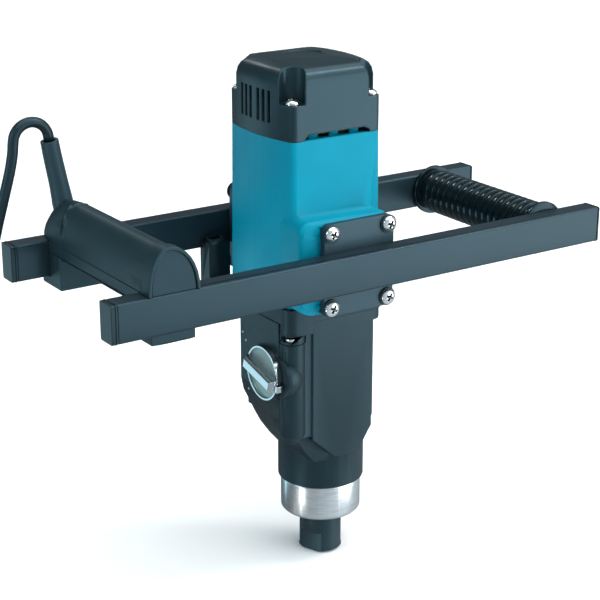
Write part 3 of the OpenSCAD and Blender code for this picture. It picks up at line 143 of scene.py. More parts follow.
STEPS_PER_TURN = 36
coil_route = [coil_point(i / STEPS_PER_TURN) for i in range(COIL_TURNS * STEPS_PER_TURN + 1)]
print("the coil is", round(2 * COIL_R / CORD_D, 1), "cord diameters across and has", COIL_TURNS, "turns")

# %% [markdown]
# A tube needs a smooth line to follow and a frame that doesn't twist along it. A cubic curve runs through all
# the given points, and its slope at each comes from the points on either side. Each ring takes over the
# sideways direction of the ring before it, turned square to the line.

# %% Round tube along a route
def smooth_route(route, parts=4):
    """Points of a cubic curve through the given ones."""
    padded = [2 * route[0] - route[1], *route, 2 * route[-1] - route[-2]]
    result = []
    for i in range(len(route) - 1):
        p0, p1, p2, p3 = padded[i:i + 4]
        for k in range(parts):
            t = k / parts
            result.append(0.5 * (2 * p1 + (p2 - p0) * t + (2 * p0 - 5 * p1 + 4 * p2 - p3) * t * t
                + (3 * p1 - p0 - 3 * p2 + p3) * t ** 3))
    return result + [route[-1].copy()]


FIRST_HINT = Vector((0, 1, 0.05))  # a way that no route starts along


def tube_rings(route, radii, sides):
    """Rings of points square to the route, each with its own radius."""
    rings = []
    side_way = None
    for i, p in enumerate(route):
        along = (route[min(i + 1, len(route) - 1)] - route[max(i - 1, 0)]).normalized()
        if side_way is None:
            side_way = along.cross(FIRST_HINT).normalized()
        side_way = (side_way - along * side_way.dot(along)).normalized()
        up_way = along.cross(side_way)
        rings.append([p + (side_way * math.cos(a) + up_way * math.sin(a)) * radii[i]
            for a in circle_angles(sides)])
    return rings


# %% [markdown]
# Points nearer than 0.8 mm to the one before are left out, so that no two rings lie on each other. The tube is
# a hair thinner than the cord, so that touching turns keep a dark line between them.

# %% Cord as one tube
CORD_SIDES, SHEATH_SHARE = 14, 0.985
SHORTEST_STEP = 0.8 * MM
SHEATH_R = CORD_R * MM * SHEATH_SHARE
cord_path = smooth_route(hang_route) + coil_route + smooth_route(tail_route)[1:]
cord_path = [p for i, p in enumerate(cord_path) if i == 0 or (p - cord_path[i - 1]).length > SHORTEST_STEP]
cord = mesh_object("rubber_cord", *loft(tube_rings(cord_path, [SHEATH_R] * len(cord_path), CORD_SIDES)))
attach(cord, "frame")
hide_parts("cord_lead", "cord_coil", "cord_tail")

# %% [markdown]
# ## Colours and the one helper that adds a shader node
# Colours are read off as sRGB hex values, the way a paint shop or a screen gives them. Blender computes with
# linear light, so one function turns them. A finish is a small network of nodes around a Principled BSDF.

# %% Hex to linear colour
def linear(hex_value):
    channels = [int(hex_value[i:i + 2], 16) / 255 for i in (1, 3, 5)]
    return tuple(c / 12.92 if c <= 0.04045 else ((c + 0.055) / 1.055) ** 2.4 for c in channels) + (1.0,)


def add_node(tree, kind, values=None, links=None, **settings):
    node = tree.nodes.new(kind)
    for key, value in settings.items():
        setattr(node, key, value)
    for key, value in (values or {}).items():
        node.inputs[key].default_value = value
    for key, source in (links or {}).items():
        tree.links.new(source, node.inputs[key])
    return node


# %% [markdown]
# ## Moulded, cast and coated finishes
# Most of the drill is glass-filled nylon or a coated casting. Their colour is even, but not flat: the mould's
# fine spark-eroded texture breaks up the gloss, and dust and handling change the tone a little over a few
# centimetres. The texture's grain is about 0.3 mm on the real drill; it is drawn 0.9 mm wide so that it still
# shows. Edges are painted paler, partly as the wear where hands and floors rub and partly as a painted
# highlight, the line of light that a rounded edge catches: the angle between the true surface and its rounded
# shading finds them. The pigment lies close under the gloss, so even the sheen is a little blue.

# %% A coated or moulded surface
SHEEN_TONE = "#AADFF5"
BLOTCH_MM, BLOTCH_LOW, BLOTCH_HIGH = 45, 0.3, 0.7  # size, and the noise values of the shaded and the full tone
GLOSS_DIP, GLOSS_RISE = 0.06, 0.08  # change of roughness in the grain
# Paler edges: partly wear, partly a painted highlight of the light that a rounded edge catches.
PALE_EDGE_STARTS, PALE_EDGE_FULL, PALE_EDGE_SHARE = 0.995, 0.9, 0.7  # cosines of the edge angle, and how far the tone changes


def grained_finish(name, tone, shade_tone, worn_and_lit_edge_tone, roughness, grain_mm, grain_height_mm, edge_mm=0.6,
        specular=0.5):
    finish = bpy.data.materials.new(name)
    finish.use_nodes = True
    tree = finish.node_tree
    shader = tree.nodes["Principled BSDF"]
    place = add_node(tree, "ShaderNodeTexCoord").outputs["Object"]
    blotches = add_node(tree, "ShaderNodeTexNoise", {"Scale": 1 / (BLOTCH_MM * MM), "Detail": 3.0},
        {"Vector": place})
    grain = add_node(tree, "ShaderNodeTexNoise", {"Scale": 1 / (grain_mm * MM), "Detail": 2.0, "Roughness": 0.6},
        {"Vector": place})
    ramp = add_node(tree, "ShaderNodeValToRGB", links={"Fac": blotches.outputs["Fac"]})
    low, high = ramp.color_ramp.elements
    low.position, low.color = BLOTCH_LOW, linear(shade_tone)
    high.position, high.color = BLOTCH_HIGH, linear(tone)
    rounding = add_node(tree, "ShaderNodeBevel", {"Radius": edge_mm * MM}, samples=4)
    facing = add_node(tree, "ShaderNodeNewGeometry").outputs["Normal"]
    turned = add_node(tree, "ShaderNodeVectorMath", links={0: rounding.outputs["Normal"], 1: facing},
        operation="DOT_PRODUCT")
    # Edge mask for the paler edge tone: wear, and a painted highlight along rounded edges.
    worn_and_lit_edge = add_node(tree, "ShaderNodeMapRange",
        {"From Min": PALE_EDGE_STARTS, "From Max": PALE_EDGE_FULL, "To Max": PALE_EDGE_SHARE}, {"Value": turned.outputs["Value"]})
    colour = add_node(tree, "ShaderNodeMixRGB", {"Color2": linear(worn_and_lit_edge_tone)},
        {"Fac": worn_and_lit_edge.outputs["Result"], "Color1": ramp.outputs["Color"]})
    bump = add_node(tree, "ShaderNodeBump", {"Distance": grain_height_mm * MM, "Strength": 0.6},
        {"Height": grain.outputs["Fac"], "Normal": rounding.outputs["Normal"]})
    gloss = add_node(tree, "ShaderNodeMapRange",
        {"To Min": roughness - GLOSS_DIP, "To Max": roughness + GLOSS_RISE}, {"Value": grain.outputs["Fac"]})
    tree.links.new(colour.outputs["Color"], shader.inputs["Base Color"])
    tree.links.new(gloss.outputs["Result"], shader.inputs["Roughness"])
    tree.links.new(bump.outputs["Normal"], shader.inputs["Normal"])
    shader.inputs["Specular IOR Level"].default_value = specular
    shader.inputs["Specular Tint"].default_value = linear(SHEEN_TONE)
    return finish


# %% [markdown]
# The housings are nylon with short glass fibres, shot into steel moulds. The teal one is dyed through and looks
# half glossy, with a soft sheen. The dark ones are the same nylon in blue-black: the cap has generously rounded
# edges that catch a line of light, the handle's mould is etched coarser, so its sheen is broad and dull.

# %% Glass-filled nylon (name, tone, shaded tone, worn and lit edge tone, roughness, grain and its height in mm)
teal_nylon = grained_finish("moulded_nylon_teal", "#00829A", "#007A92", "#1098B0", 0.46, 0.9, 0.010, specular=0.16)
cap_nylon = grained_finish("moulded_nylon_cap", "#16252A", "#122024", "#2E4148", 0.36, 0.9, 0.02, edge_mm=1.6)
dark_nylon = grained_finish("moulded_nylon_dark", "#16252B", "#122025", "#2E3E45", 0.50, 0.9, 0.02)
print("nylon:", teal_nylon.name, cap_nylon.name, dark_nylon.name)

# %% [markdown]
# The gearbox is die-cast aluminium and the rails are steel tube. Both carry a baked powder coat, whose flow
# leaves an orange peel about a millimetre wide: it looks satin, a little glossier on the smooth tube. The
# plates' coat is thicker and paler. The spindle is blackened in a hot salt bath, which leaves a thin oiled
# oxide, almost without a metal's own mirror; its fine crystals are drawn as coarse as the coat.

# %% Powder coat and black oxide
coated_casting = grained_finish("powder_coated_casting", "#142025", "#101A1E", "#2A3A41", 0.45, 1.1, 0.025)
coated_steel = grained_finish("powder_coated_steel", "#16232A", "#121D22", "#33454E", 0.40, 0.8, 0.012)
coated_plate = grained_finish("powder_coated_plate", "#22323A", "#1D2B32", "#3E525C", 0.40, 0.8, 0.012)
black_oxide = grained_finish("black_oxide_steel", "#1C282D", "#162024", "#39464C", 0.42, 0.8, 0.01, edge_mm=0.3)
print("coats:", coated_casting.name, coated_steel.name, coated_plate.name, black_oxide.name)

# %% [markdown]
# The rails' end plugs are moulded polyethylene, darker than the tube that they close; duct, trigger and mains
# plug look much the same. The side grip is rubber cured in a polished mould, deep black with small sharp
# highlights. The guard's rubber has a chalky bloom, so it is paler and matt, and the cord's sheath lies between
# them. Rubber has no grain, so only a faint unevenness of the mould is drawn, a little over a millimetre wide.
# The motor's brushes are pressed carbon, dull and black. The grain of plastic and carbon is a few tenths of a
# millimetre and is drawn 0.8 mm wide. The last finish is for the narrow joint between two mouldings, where
# hardly any light gets in and out again.

# %% Plugs, rubber, carbon and the dark of a joint
plug_plastic = grained_finish("moulded_end_plug", "#0F171B", "#0C1316", "#26343A", 0.4, 0.8, 0.012)
black_rubber = grained_finish("moulded_rubber", "#0B1417", "#081012", "#162226", 0.22, 1.2, 0.003, specular=0.35)
guard_rubber = grained_finish("matt_moulded_rubber", "#24333A", "#1E2B31", "#32444B", 0.5, 1.2, 0.01, specular=0.6)
cord_rubber = grained_finish("cord_sheath_rubber", "#151E22", "#11191C", "#202B30", 0.4, 1.5, 0.02)
pressed_carbon = grained_finish("pressed_carbon", "#17191B", "#121415", "#2A2D30", 0.6, 0.8, 0.02)
seam_shadow = grained_finish("shadowed_joint", "#060B0D", "#040809", "#060B0D", 0.8, 1.2, 0.002, specular=0.1)
print("finishes so far:", len(bpy.data.materials) - packed_finishes)

# %% [markdown]
# ## Metals
# A metal has no colour of its own under its gloss: the reflection carries the colour, and the roughness says
# how it was made. The turning marks on the neck ring are about 0.1 mm apart and are drawn 0.7 mm apart so that
# they still show. Metal that is handled also carries a haze in clouds of about 14 mm, where the roughness
# changes.

# %% A worked metal surface
HAZE_MM, METAL_EDGE_MM = 14, 0.3
MARK_LOW, MARK_HIGH = 0.35, 0.65  # noise values of the bottom and the top of a tool mark
ALONG_THE_MARKS, EVENLY = (0.06, 0.06, 1.0), (1, 1, 1)  # the first stretches the marks round the Z axis


def metal_finish(name, tone, roughness, mark_mm, mark_height_mm, marks_run_round=True, haze=0.05,
        mark_depth=0.14):
    finish = bpy.data.materials.new(name)
    finish.use_nodes = True
    tree = finish.node_tree
    shader = tree.nodes["Principled BSDF"]
    place = add_node(tree, "ShaderNodeTexCoord").outputs["Object"]
    stretch = add_node(tree, "ShaderNodeMapping", {"Scale": ALONG_THE_MARKS if marks_run_round else EVENLY},
        {"Vector": place})
    marks = add_node(tree, "ShaderNodeTexNoise", {"Scale": 1 / (mark_mm * MM), "Detail": 2.0},
        {"Vector": stretch.outputs["Vector"]})
    cloud = add_node(tree, "ShaderNodeTexNoise", {"Scale": 1 / (HAZE_MM * MM), "Detail": 4.0}, {"Vector": place})
    gloss = add_node(tree, "ShaderNodeMapRange", {"To Min": roughness - haze, "To Max": roughness + haze * 2},
        {"Value": cloud.outputs["Fac"]})
    ramp = add_node(tree, "ShaderNodeValToRGB", links={"Fac": marks.outputs["Fac"]})
    low, high = ramp.color_ramp.elements
    low.position, high.position = MARK_LOW, MARK_HIGH
    base = linear(tone)
    low.color, high.color = tuple(c * (1 - mark_depth) for c in base[:3]) + (1,), base
    rounding = add_node(tree, "ShaderNodeBevel", {"Radius": METAL_EDGE_MM * MM}, samples=4)
    bump = add_node(tree, "ShaderNodeBump", {"Distance": mark_height_mm * MM, "Strength": 0.5},
        {"Height": marks.outputs["Fac"], "Normal": rounding.outputs["Normal"]})
    tree.links.new(ramp.outputs["Color"], shader.inputs["Base Color"])
    tree.links.new(gloss.outputs["Result"], shader.inputs["Roughness"])
    tree.links.new(bump.outputs["Normal"], shader.inputs["Normal"])
    shader.inputs["Metallic"].default_value = 1.0
    return finish


# %% [markdown]
# The neck ring is turned aluminium, so fine rings run round it and break its reflections sideways. The screws
# are zinc plated and barrel-tumbled: bright, a little soft. The knob is a zinc casting, polished and chromed,
# with the floor of its dish left as it came from the mould. Their scratches are hair-fine; they are drawn 0.8
# to 0.9 mm wide and so low that they only soften the reflection. The recess of a screw sees almost no light.

# %% Metals that show (name, tone, roughness, marks and their height in mm)
turned_aluminium = metal_finish("turned_aluminium", "#D9DDE0", 0.3, 0.7, 0.012, mark_depth=0.2)
zinc_plate = metal_finish("zinc_plated_steel", "#E9EBEC", 0.2, 0.9, 0.002)
chrome_plate = metal_finish("chrome_plated_zinc", "#B9BEC2", 0.12, 0.9, 0.001, haze=0.03, mark_depth=0.04)
knob_face = metal_finish("satin_zinc_face", "#B2C0BC", 0.5, 0.8, 0.01, marks_run_round=False, haze=0.06)
# The recess finish is painted shade: the dark inside a screw's cross, not the zinc's own colour.
recess_shade_finish = metal_finish("painted_recess_shade", "#22282B", 0.6, 0.8, 0.004, marks_run_round=False)
print("the ring, the screws and the knob:", turned_aluminium.name, zinc_plate.name, chrome_plate.name)

# %% [markdown]
# Inside are ground shafts and gears, the sheared edges of the motor's core sheets, its enamelled copper wire,
# brass brush holders and a cast bearing plate. Their marks, sheets and wires are 0.1 to 0.5 mm apart and are
# drawn 0.6 to 1.2 mm apart. They show only through the slots, but each still has its own metal.

# %% Metals inside
ground_steel = metal_finish("ground_steel", "#B4B8BB", 0.3, 0.7, 0.006)
core_sheet = metal_finish("stacked_core_sheet", "#83878A", 0.45, 0.6, 0.02)
copper_wire = metal_finish("enamelled_copper_wire", "#B5603A", 0.32, 0.8, 0.03)
pressed_brass = metal_finish("pressed_brass", "#C9B458", 0.3, 0.9, 0.004)
cast_aluminium = metal_finish("cast_aluminium", "#A7ABAD", 0.5, 1.2, 0.02, marks_run_round=False)
print("finishes made:", len(bpy.data.materials) - packed_finishes)

# %% [markdown]
# ## Who wears what
# One table gives every solid its finish, also the ones inside, so that nothing is left plain. A piece that
# stands for a solid later takes the finish from the same table.

# %% Which finish each solid wears
SOLID_FINISH = {
    teal_nylon: "motor_housing",
    cap_nylon: "top_cover",
    dark_nylon: "handle_upper_shell handle_lower_shell cooling_fan cord_clamp fan_baffle",
    coated_casting: "gear_housing gear_housing_cover",
    coated_steel: "front_rail rear_rail",
    coated_plate: "front_plate rear_plate",
    plug_plastic: "rail_end_plugs lead_duct plug_body trigger lock_button switch_body",
    black_rubber: "side_grip oil_seal",
    guard_rubber: "cord_guard",
    cord_rubber: "cord_lead cord_coil cord_tail",
    turned_aluminium: "neck_ring",
    zinc_plate: "top_cover_screws gear_housing_screws front_plate_bolts rear_plate_bolts handle_screws plug_pins",
    chrome_plate: "speed_knob",
    black_oxide: "spindle spindle_circlip",
    ground_steel: "side_tube slow_spindle_gear fast_spindle_gear gear_spacer countershaft countershaft_wheel "
        "sliding_cluster armature_shaft spindle_bearing_lower spindle_bearing_upper armature_bearing_lower "
        "armature_bearing_upper countershaft_bearings",
    core_sheet: "field_core armature_core",
    copper_wire: "field_coils armature_coils commutator",
    pressed_brass: "brush_holders",
    cast_aluminium: "gear_plate",
    pressed_carbon: "carbon_brushes",
}
finish_of = {node: finish for finish, names in SOLID_FINISH.items() for node in names.split()}
for name, solid in nodes.items():
    for slot in solid.material_slots:
        slot.material = finish_of[name]
cord.data.materials.append(cord_rubber)
print(len(finish_of), "of", len(nodes), "solids have a finish")

# %% [markdown]
# ## Rounded copies of the moulded and cast solids
# No moulded or cast edge is sharp: it has a radius that catches a line of light. A copy of the solid is welded,
# its flat facets are joined, and a bevel rounds each edge by a width that suits the place. Shallow angles are
# shaded smooth, so a crowned face reads as one curve.

# %% A copy that stands for its solid
SHARP_ANGLE, FLAT_ANGLE = math.radians(32), math.radians(0.05)
WELD = 0.01 * MM
BEVEL_STEPS = 2


def body_name(node):
    return next(name for name, members in frame["record"]["behaviour"]["bodies"].items() if node in members)


def join_flat_facets(form):
    bmesh.ops.dissolve_limit(form, angle_limit=FLAT_ANGLE, verts=form.verts, edges=form.edges)


def cut_across(form, place_mm, way):
    bmesh.ops.bisect_plane(form, geom=form.verts[:] + form.edges[:] + form.faces[:],
        plane_co=[v * MM for v in place_mm], plane_no=way)


def stand_in(node, name, mesh):
    """Shows a mesh in place of a solid, on the same body and with the same material slot."""
    mesh.polygons.foreach_set("use_smooth", [True] * len(mesh.polygons))
    mesh.set_sharp_from_angle(angle=SHARP_ANGLE)
    piece = bpy.data.objects.new(name, mesh)
    bpy.context.scene.collection.objects.link(piece)
    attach(piece, body_name(node))
    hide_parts(node)
    return piece


def rounded_copy(node, name, width_mm, cuts_y_mm=()):
    form = bmesh.new()
    form.from_mesh(nodes[node].data)
    bmesh.ops.remove_doubles(form, verts=form.verts, dist=WELD)
    join_flat_facets(form)
    for y in cuts_y_mm:
        cut_across(form, (0, y, 0), (0, 1, 0))
    weight = form.edges.layers.float.new("bevel_weight_edge")
    for edge in form.edges:
        if len(edge.link_faces) == 2 and edge.calc_face_angle(0) > SHARP_ANGLE:
            edge[weight] = 1.0
    mesh = bpy.data.meshes.new(name)
    form.to_mesh(mesh)
    form.free()
    mesh.materials.append(finish_of[node])
    piece = stand_in(node, name, mesh)
    bevel = piece.modifiers.new("rounding", "BEVEL")
    bevel.limit_method, bevel.width, bevel.segments = "WEIGHT", width_mm * MM, BEVEL_STEPS
    bevel.use_clamp_overlap, bevel.harden_normals = False, True
    return piece


# %% [markdown]
# The teal housing, the cap and the duct have large faces that run into holes, where a bevel would tear the
# mesh. They keep their corners and only get smooth shading in which large faces stay flat; the finish rounds
# their edges. On the cap, a level cut just below and just above the air slots keeps the shading of the crowned
# face clear of them.

# %% Copies with smooth shading only
LARGE_FACE_WEIGHT = 80  # of 100, the more, the flatter large faces stay


def plain_copy(node, name, cuts_z_mm=()):
    mesh = nodes[node].data.copy()
    mesh.name = name
    form = bmesh.new()
    form.from_mesh(mesh)
    bmesh.ops.remove_doubles(form, verts=form.verts, dist=WELD)
    if cuts_z_mm:
        join_flat_facets(form)
    for z in cuts_z_mm:
        cut_across(form, (0, 0, z), (0, 0, 1))
    form.to_mesh(mesh)
    form.free()
    piece = stand_in(node, name, mesh)
    flatten = piece.modifiers.new("flat faces stay flat", "WEIGHTED_NORMAL")
    flatten.keep_sharp, flatten.weight = True, LARGE_FACE_WEIGHT


SLOT_BOTTOM_Z, SLOT_TOP_Z, CUT_AWAY = 323.5, 344.5, 0.4
plain_copy("top_cover", "smooth_top_cover", (SLOT_BOTTOM_Z - CUT_AWAY, SLOT_TOP_Z + CUT_AWAY))
for node in ("motor_housing", "lead_duct"):
    plain_copy(node, "smooth_" + node)
print("cap, motor housing and duct are smooth")

# %% [markdown]
# The handle's arch is one long moulded curve. Cuts across it keep the shading of each long facet from leaning
# with the dome at its rear end. Castings and mouldings get wider roundings than the sawn rails and the stamped
# plates.

# %% Rounded handle, castings, rails and small parts
HANDLE_CUTS_Y = (-64, -40, 0, 25, 38)
ROUNDING_MM = {"gear_housing": 0.8, "gear_housing_cover": 0.7, "handle_lower_shell": 0.8, "front_rail": 0.6,
    "rear_rail": 0.6, "rail_end_plugs": 0.4, "front_plate": 0.5, "rear_plate": 0.5, "neck_ring": 0.5,
    "spindle": 0.4, "trigger": 0.8, "lock_button": 0.4}
rounded_copy("handle_upper_shell", "rounded_handle_upper_shell", 0.5, HANDLE_CUTS_Y)
for node, width in ROUNDING_MM.items():
    rounded_copy(node, "rounded_" + node, width)
print(len(ROUNDING_MM) + 1, "rounded copies")

# %% [markdown]
# The plug is moulded on to the cord in soft plastic, so its edges are rounder.

# %% Rounded plug
plug = rounded_copy("plug_body", "rounded_plug_body", 1.5)
print("the cord ends at", plug.name)

# %% [markdown]
# ## Spun parts
# Much of a tool is turned on a lathe: a profile of radius and height, swung round an axis. Where a profile ends
# in its own first point, the part is closed. Several parts of one kind, such as four washers, are joined to one
# piece.

# %% Spin a profile round an axis
def spun_ring(place, radius, height, sides):
    return [place @ Vector((radius * math.cos(a) * MM, radius * math.sin(a) * MM, height * MM))
        for a in circle_angles(sides)]


def spun_parts(profile_mm, place, sides=72):
    return loft([spun_ring(place, radius, height, sides) for radius, height in profile_mm], closed_ends=False)


def closed_profile(profile_mm):
    return profile_mm + profile_mm[:1]


def join_parts(parts):
    points, faces = [], []
    for more_points, more_faces in parts:
        start = len(points)
        points += more_points
        faces += [tuple(start + i for i in face) for face in more_faces]
    return points, faces


def dressed(name, parts, finish, stands_for=(), sharp_angle=40):
    """A finished piece on the body "frame", made of points and faces."""
    piece = mesh_object(name, *parts)
    form = bmesh.new()
    form.from_mesh(piece.data)
    bmesh.ops.recalc_face_normals(form, faces=form.faces)
    form.to_mesh(piece.data)
    form.free()
    piece.data.set_sharp_from_angle(angle=math.radians(sharp_angle))
    piece.data.materials.append(finish)
    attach(piece, "frame")
    if stands_for:
        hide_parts(*stands_for)
    return piece


# %% [markdown]
# ## Ribbed side grip
# The grip is a rubber sleeve pulled over a steel tube, with a flange at each end. Its ribs are flat on top with
# round shoulders, so each one throws a thin line of light.

# %% Side grip
RAIL_MID_Z, GRIP_X, GRIP_HALF = 232.5, 145, 62.7
GRIP_BORE, GRIP_BASE, GRIP_TOP, GRIP_FLANGE = 10.05, 15.0, 16.3, 18.5
GRIP_RIBS, END_ROOM = 16, 8
RIB_SHARE = 0.4  # half a rib's width, as a share of the pitch
RIB_SHOULDER = ((0.93, 0.5), (0.78, 0.84), (0.42, 0.98))  # way from the rib's middle, and height
rib_pitch = (2 * GRIP_HALF - 2 * END_ROOM) / GRIP_RIBS
rib_shape = [(-1, 0), *((-way, rise) for way, rise in RIB_SHOULDER), (0, 1), *reversed(RIB_SHOULDER), (1, 0)]
flange_edge = ((GRIP_BORE, 0), (17.9, 0), (GRIP_FLANGE, 0.5), (GRIP_FLANGE, 2.4), (18, 3), (GRIP_BASE, 3.2))
flange = [(radius, height - GRIP_HALF) for radius, height in flange_edge]
ribs = [(GRIP_BASE + (GRIP_TOP - GRIP_BASE) * rise,
    END_ROOM - GRIP_HALF + (rib + RIB_SHARE + RIB_SHARE * way) * rib_pitch)
    for rib in range(GRIP_RIBS) for way, rise in rib_shape]
grip_profile = flange + ribs + [(radius, -height) for radius, height in reversed(flange)]
along_grip = Matrix.Translation(Vector((GRIP_X, 0, RAIL_MID_Z)) * MM) @ Matrix.Rotation(math.radians(90), 4, "X")
dressed("ribbed_side_grip", spun_parts(closed_profile(grip_profile), along_grip), black_rubber,
    ["side_grip"])
print("the grip has", GRIP_RIBS, "ribs", round(rib_pitch, 2), "mm apart")

# %% [markdown]
# ## Bolts and screws
# The screws are zinc plated steel with pan heads and a cross recess, which looks black because little light
# gets in. The head is a disc of rings whose height follows a dome; points inside the cross sink. Below it come
# the underside, the shank and a small chamfer.

# %% A pan head screw with a cross recess
HEAD_RINGS = (0.05, 0.11, 0.17, 0.24, 0.31, 0.38, 0.45, 0.5, 0.55, 0.62, 0.72, 0.82, 0.9, 0.96, 1.0)
DOME_DROP, DOME_POWER = 0.42, 2.8
CROSS_HALF, CROSS_REACH, CROSS_DEPTH = 0.14, 0.52, 0.5  # shares of the head's radius, and of its height
FOOT_RISE, FOOT_SHARE = 0.1, 0.97  # the head's lower edge
TIP_LENGTH, TIP_TAPER = 1, 0.8


def screw_parts(place, head_d, head_h, shank_d, length, turn=0.0, sides=64):
    radius = head_d / 2
    rings = []
    for share in HEAD_RINGS:
        ring = []
        for a in circle_angles(sides):
            x, y = radius * share * math.cos(a + turn), radius * share * math.sin(a + turn)
            in_cross = min(abs(x), abs(y)) < CROSS_HALF * radius and max(abs(x), abs(y)) < CROSS_REACH * radius
            height = head_h * (1 - DOME_DROP * share ** DOME_POWER - (CROSS_DEPTH if in_cross else 0))
            ring.append(place @ Vector((radius * share * math.cos(a) * MM, radius * share * math.sin(a) * MM,
                height * MM)))
        rings.append(ring)
    below = ((radius, FOOT_RISE * head_h), (radius * FOOT_SHARE, 0), (shank_d / 2, 0),
        (shank_d / 2, TIP_LENGTH - length), (shank_d / 2 - TIP_TAPER, -length))
    rings += [spun_ring(place, r, h, sides) for r, h in below]
    return loft(rings)


# %% [markdown]
# The faces inside the cross are found by turning their middles back into the screw's own axes.

# %% Painted shade in the recesses, and a set of screws as one piece
CROSS_MARGIN, RECESS_TOP = 0.02, 0.88


def paint_recess_shade(piece, places, head_d, head_h):
    """Faces inside the cross wear the dark finish that paints their shade."""
    piece.data.materials.append(recess_shade_finish)
    backs = [place.inverted() for place in places]
    for face in piece.data.polygons:
        for back in backs:
            x, y, z = (back @ face.center) / MM
            near, far = sorted((abs(x), abs(y)))
            in_cross = (near < (CROSS_HALF + CROSS_MARGIN) * head_d / 2
                and far < (CROSS_REACH + CROSS_MARGIN) * head_d / 2)
            if in_cross and 0 < z < head_h * RECESS_TOP:
                face.material_index = 1


def screw_set(node, places, head_d, head_h, shank_d, lengths, turn=0.0):
    parts = join_parts([screw_parts(place, head_d, head_h, shank_d, length, turn)
        for place, length in zip(places, lengths)])
    piece = dressed("cross_head_" + node, parts, zinc_plate, [node], sharp_angle=50)
    paint_recess_shade(piece, places, head_d, head_h)


# %% [markdown]
# Four M6 bolts hold each rail's plate to its pad, and each sits on a blackened spring washer.

# %% Plate bolts and their washers
BOLT_HEAD_D, BOLT_HEAD_H, BOLT_D, BOLT_LENGTH, BOLT_TURN = 10.5, 4.0, 6, 18, 0.5
PLATE_FACE_Y, BOLT_DX, BOLT_DZ = 63, 22.5, 25
WASHER = [(4.2, 0), (6.0, 0), (6.2, 0.3), (6.2, 0.9), (6.0, 1.2), (4.2, 1.2)]
for side, plate_x, label in ((-1, -13, "front"), (1, -8, "rear")):
    facing_out = Matrix.Rotation(math.radians(-90 * side), 4, "X")
    plate_y = side * PLATE_FACE_Y
    bolt_places = [Matrix.Translation(Vector((plate_x + dx, plate_y, RAIL_MID_Z + dz)) * MM) @ facing_out
        for dx in (-BOLT_DX, BOLT_DX) for dz in (-BOLT_DZ, BOLT_DZ)]
    screw_set(label + "_plate_bolts", bolt_places, BOLT_HEAD_D, BOLT_HEAD_H, BOLT_D, [BOLT_LENGTH] * 4, BOLT_TURN)
    washers = join_parts([spun_parts(closed_profile(WASHER), place, sides=48) for place in bolt_places])
    dressed(label + "_bolt_washers", washers, black_oxide)
print("eight bolts of", BOLT_LENGTH, "mm on their washers")

# %% [markdown]
# Four long screws clamp cap and motor housing; the right pair reaches 2 mm deeper. Two short ones hold the ears
# of the gear housing's cover, and four close the handle's feet from below.

# %% Screws of the cap, the ears and the handle
COVER_MID_X, COVER_DX, COVER_DY, COVER_Z = -14, 30.5, 31.5, 337
cover_corners = [(sx, sy) for sx in (-1, 1) for sy in (-1, 1)]
cover_places = [Matrix.Translation(Vector((COVER_MID_X + COVER_DX * sx, COVER_DY * sy, COVER_Z)) * MM)
    for sx, sy in cover_corners]
cover_lengths = [147 if sx > 0 else 145 for sx, sy in cover_corners]
screw_set("top_cover_screws", cover_places, head_d=9, head_h=3.4, shank_d=5, lengths=cover_lengths, turn=0.4)

EARS, EAR_Z = ((-47.19, -33.69), (-40.13, 32.63)), 178.7
ear_places = [Matrix.Translation(Vector((x, y, EAR_Z)) * MM) for x, y in EARS]
screw_set("gear_housing_screws", ear_places, head_d=8.4, head_h=3, shank_d=4.5, lengths=[26] * 2)

FOOT_X, FOOT_Y, FOOT_Z = (-168, -148), (-70.5, 70.5), 215.5
facing_down = Matrix.Rotation(math.pi, 4, "X")
foot_places = [Matrix.Translation(Vector((x, y, FOOT_Z)) * MM) @ facing_down for x in FOOT_X for y in FOOT_Y]
screw_set("handle_screws", foot_places, head_d=8, head_h=2.8, shank_d=4.5, lengths=[36] * 4)

# %% [markdown]
# ## Cord guard
# A soft rubber sleeve keeps the cord from kinking where it leaves the handle. It widens a little at its foot,
# leans back and ends in a rounded rim, out of which the cord comes.

# %% Sleeve along its own curve
GUARD_FOOT_R, GUARD_TAPER, FLARE, FLARE_AT, FLARE_REACH = 6.75, 0.75, 0.5, 0.22, 0.25
RIM = ((-0.05, 0.15), (0.15, 0.6), (0.2, 1.2), (-0.4, 2.2), (-2.8, 2.4))  # way past the end, and how much narrower
guard_axis = [Vector((x, CORD_Y, z)) * MM for x, z in
    ((-159.4, 256), (-161.2, 267), (-163, 278), (-165, 289), (-167, 300), (-168.8, 311))]
guard_path = smooth_route(guard_axis, 6)
guard_radii = []
for i in range(len(guard_path)):
    share = i / (len(guard_path) - 1)
    flare = FLARE * max(0, 1 - abs(share - FLARE_AT) / FLARE_REACH)
    guard_radii.append((GUARD_FOOT_R - GUARD_TAPER * share + flare) * MM)
guard_rings = tube_rings(guard_path, guard_radii, sides=32)
last_ring = guard_rings[-1]
rim_way = (guard_path[-1] - guard_path[-2]).normalized()
for past, narrower in RIM:
    centre = guard_axis[-1] + rim_way * past * MM
    rim_radius = (GUARD_FOOT_R - GUARD_TAPER - narrower) * MM
    guard_rings.append([centre + (p - guard_axis[-1]).normalized() * rim_radius for p in last_ring])
dressed("curved_cord_guard", loft(guard_rings), guard_rubber, ["cord_guard"])
print("the guard has", len(guard_rings), "rings")

# %% [markdown]
# ## Speed knob
# The knob is a chromed zinc casting. The floor of its dish is left satin, the rim and the finger bar are
# polished. A copy of the solid is rounded, and the faces of the dish floor get the satin finish.

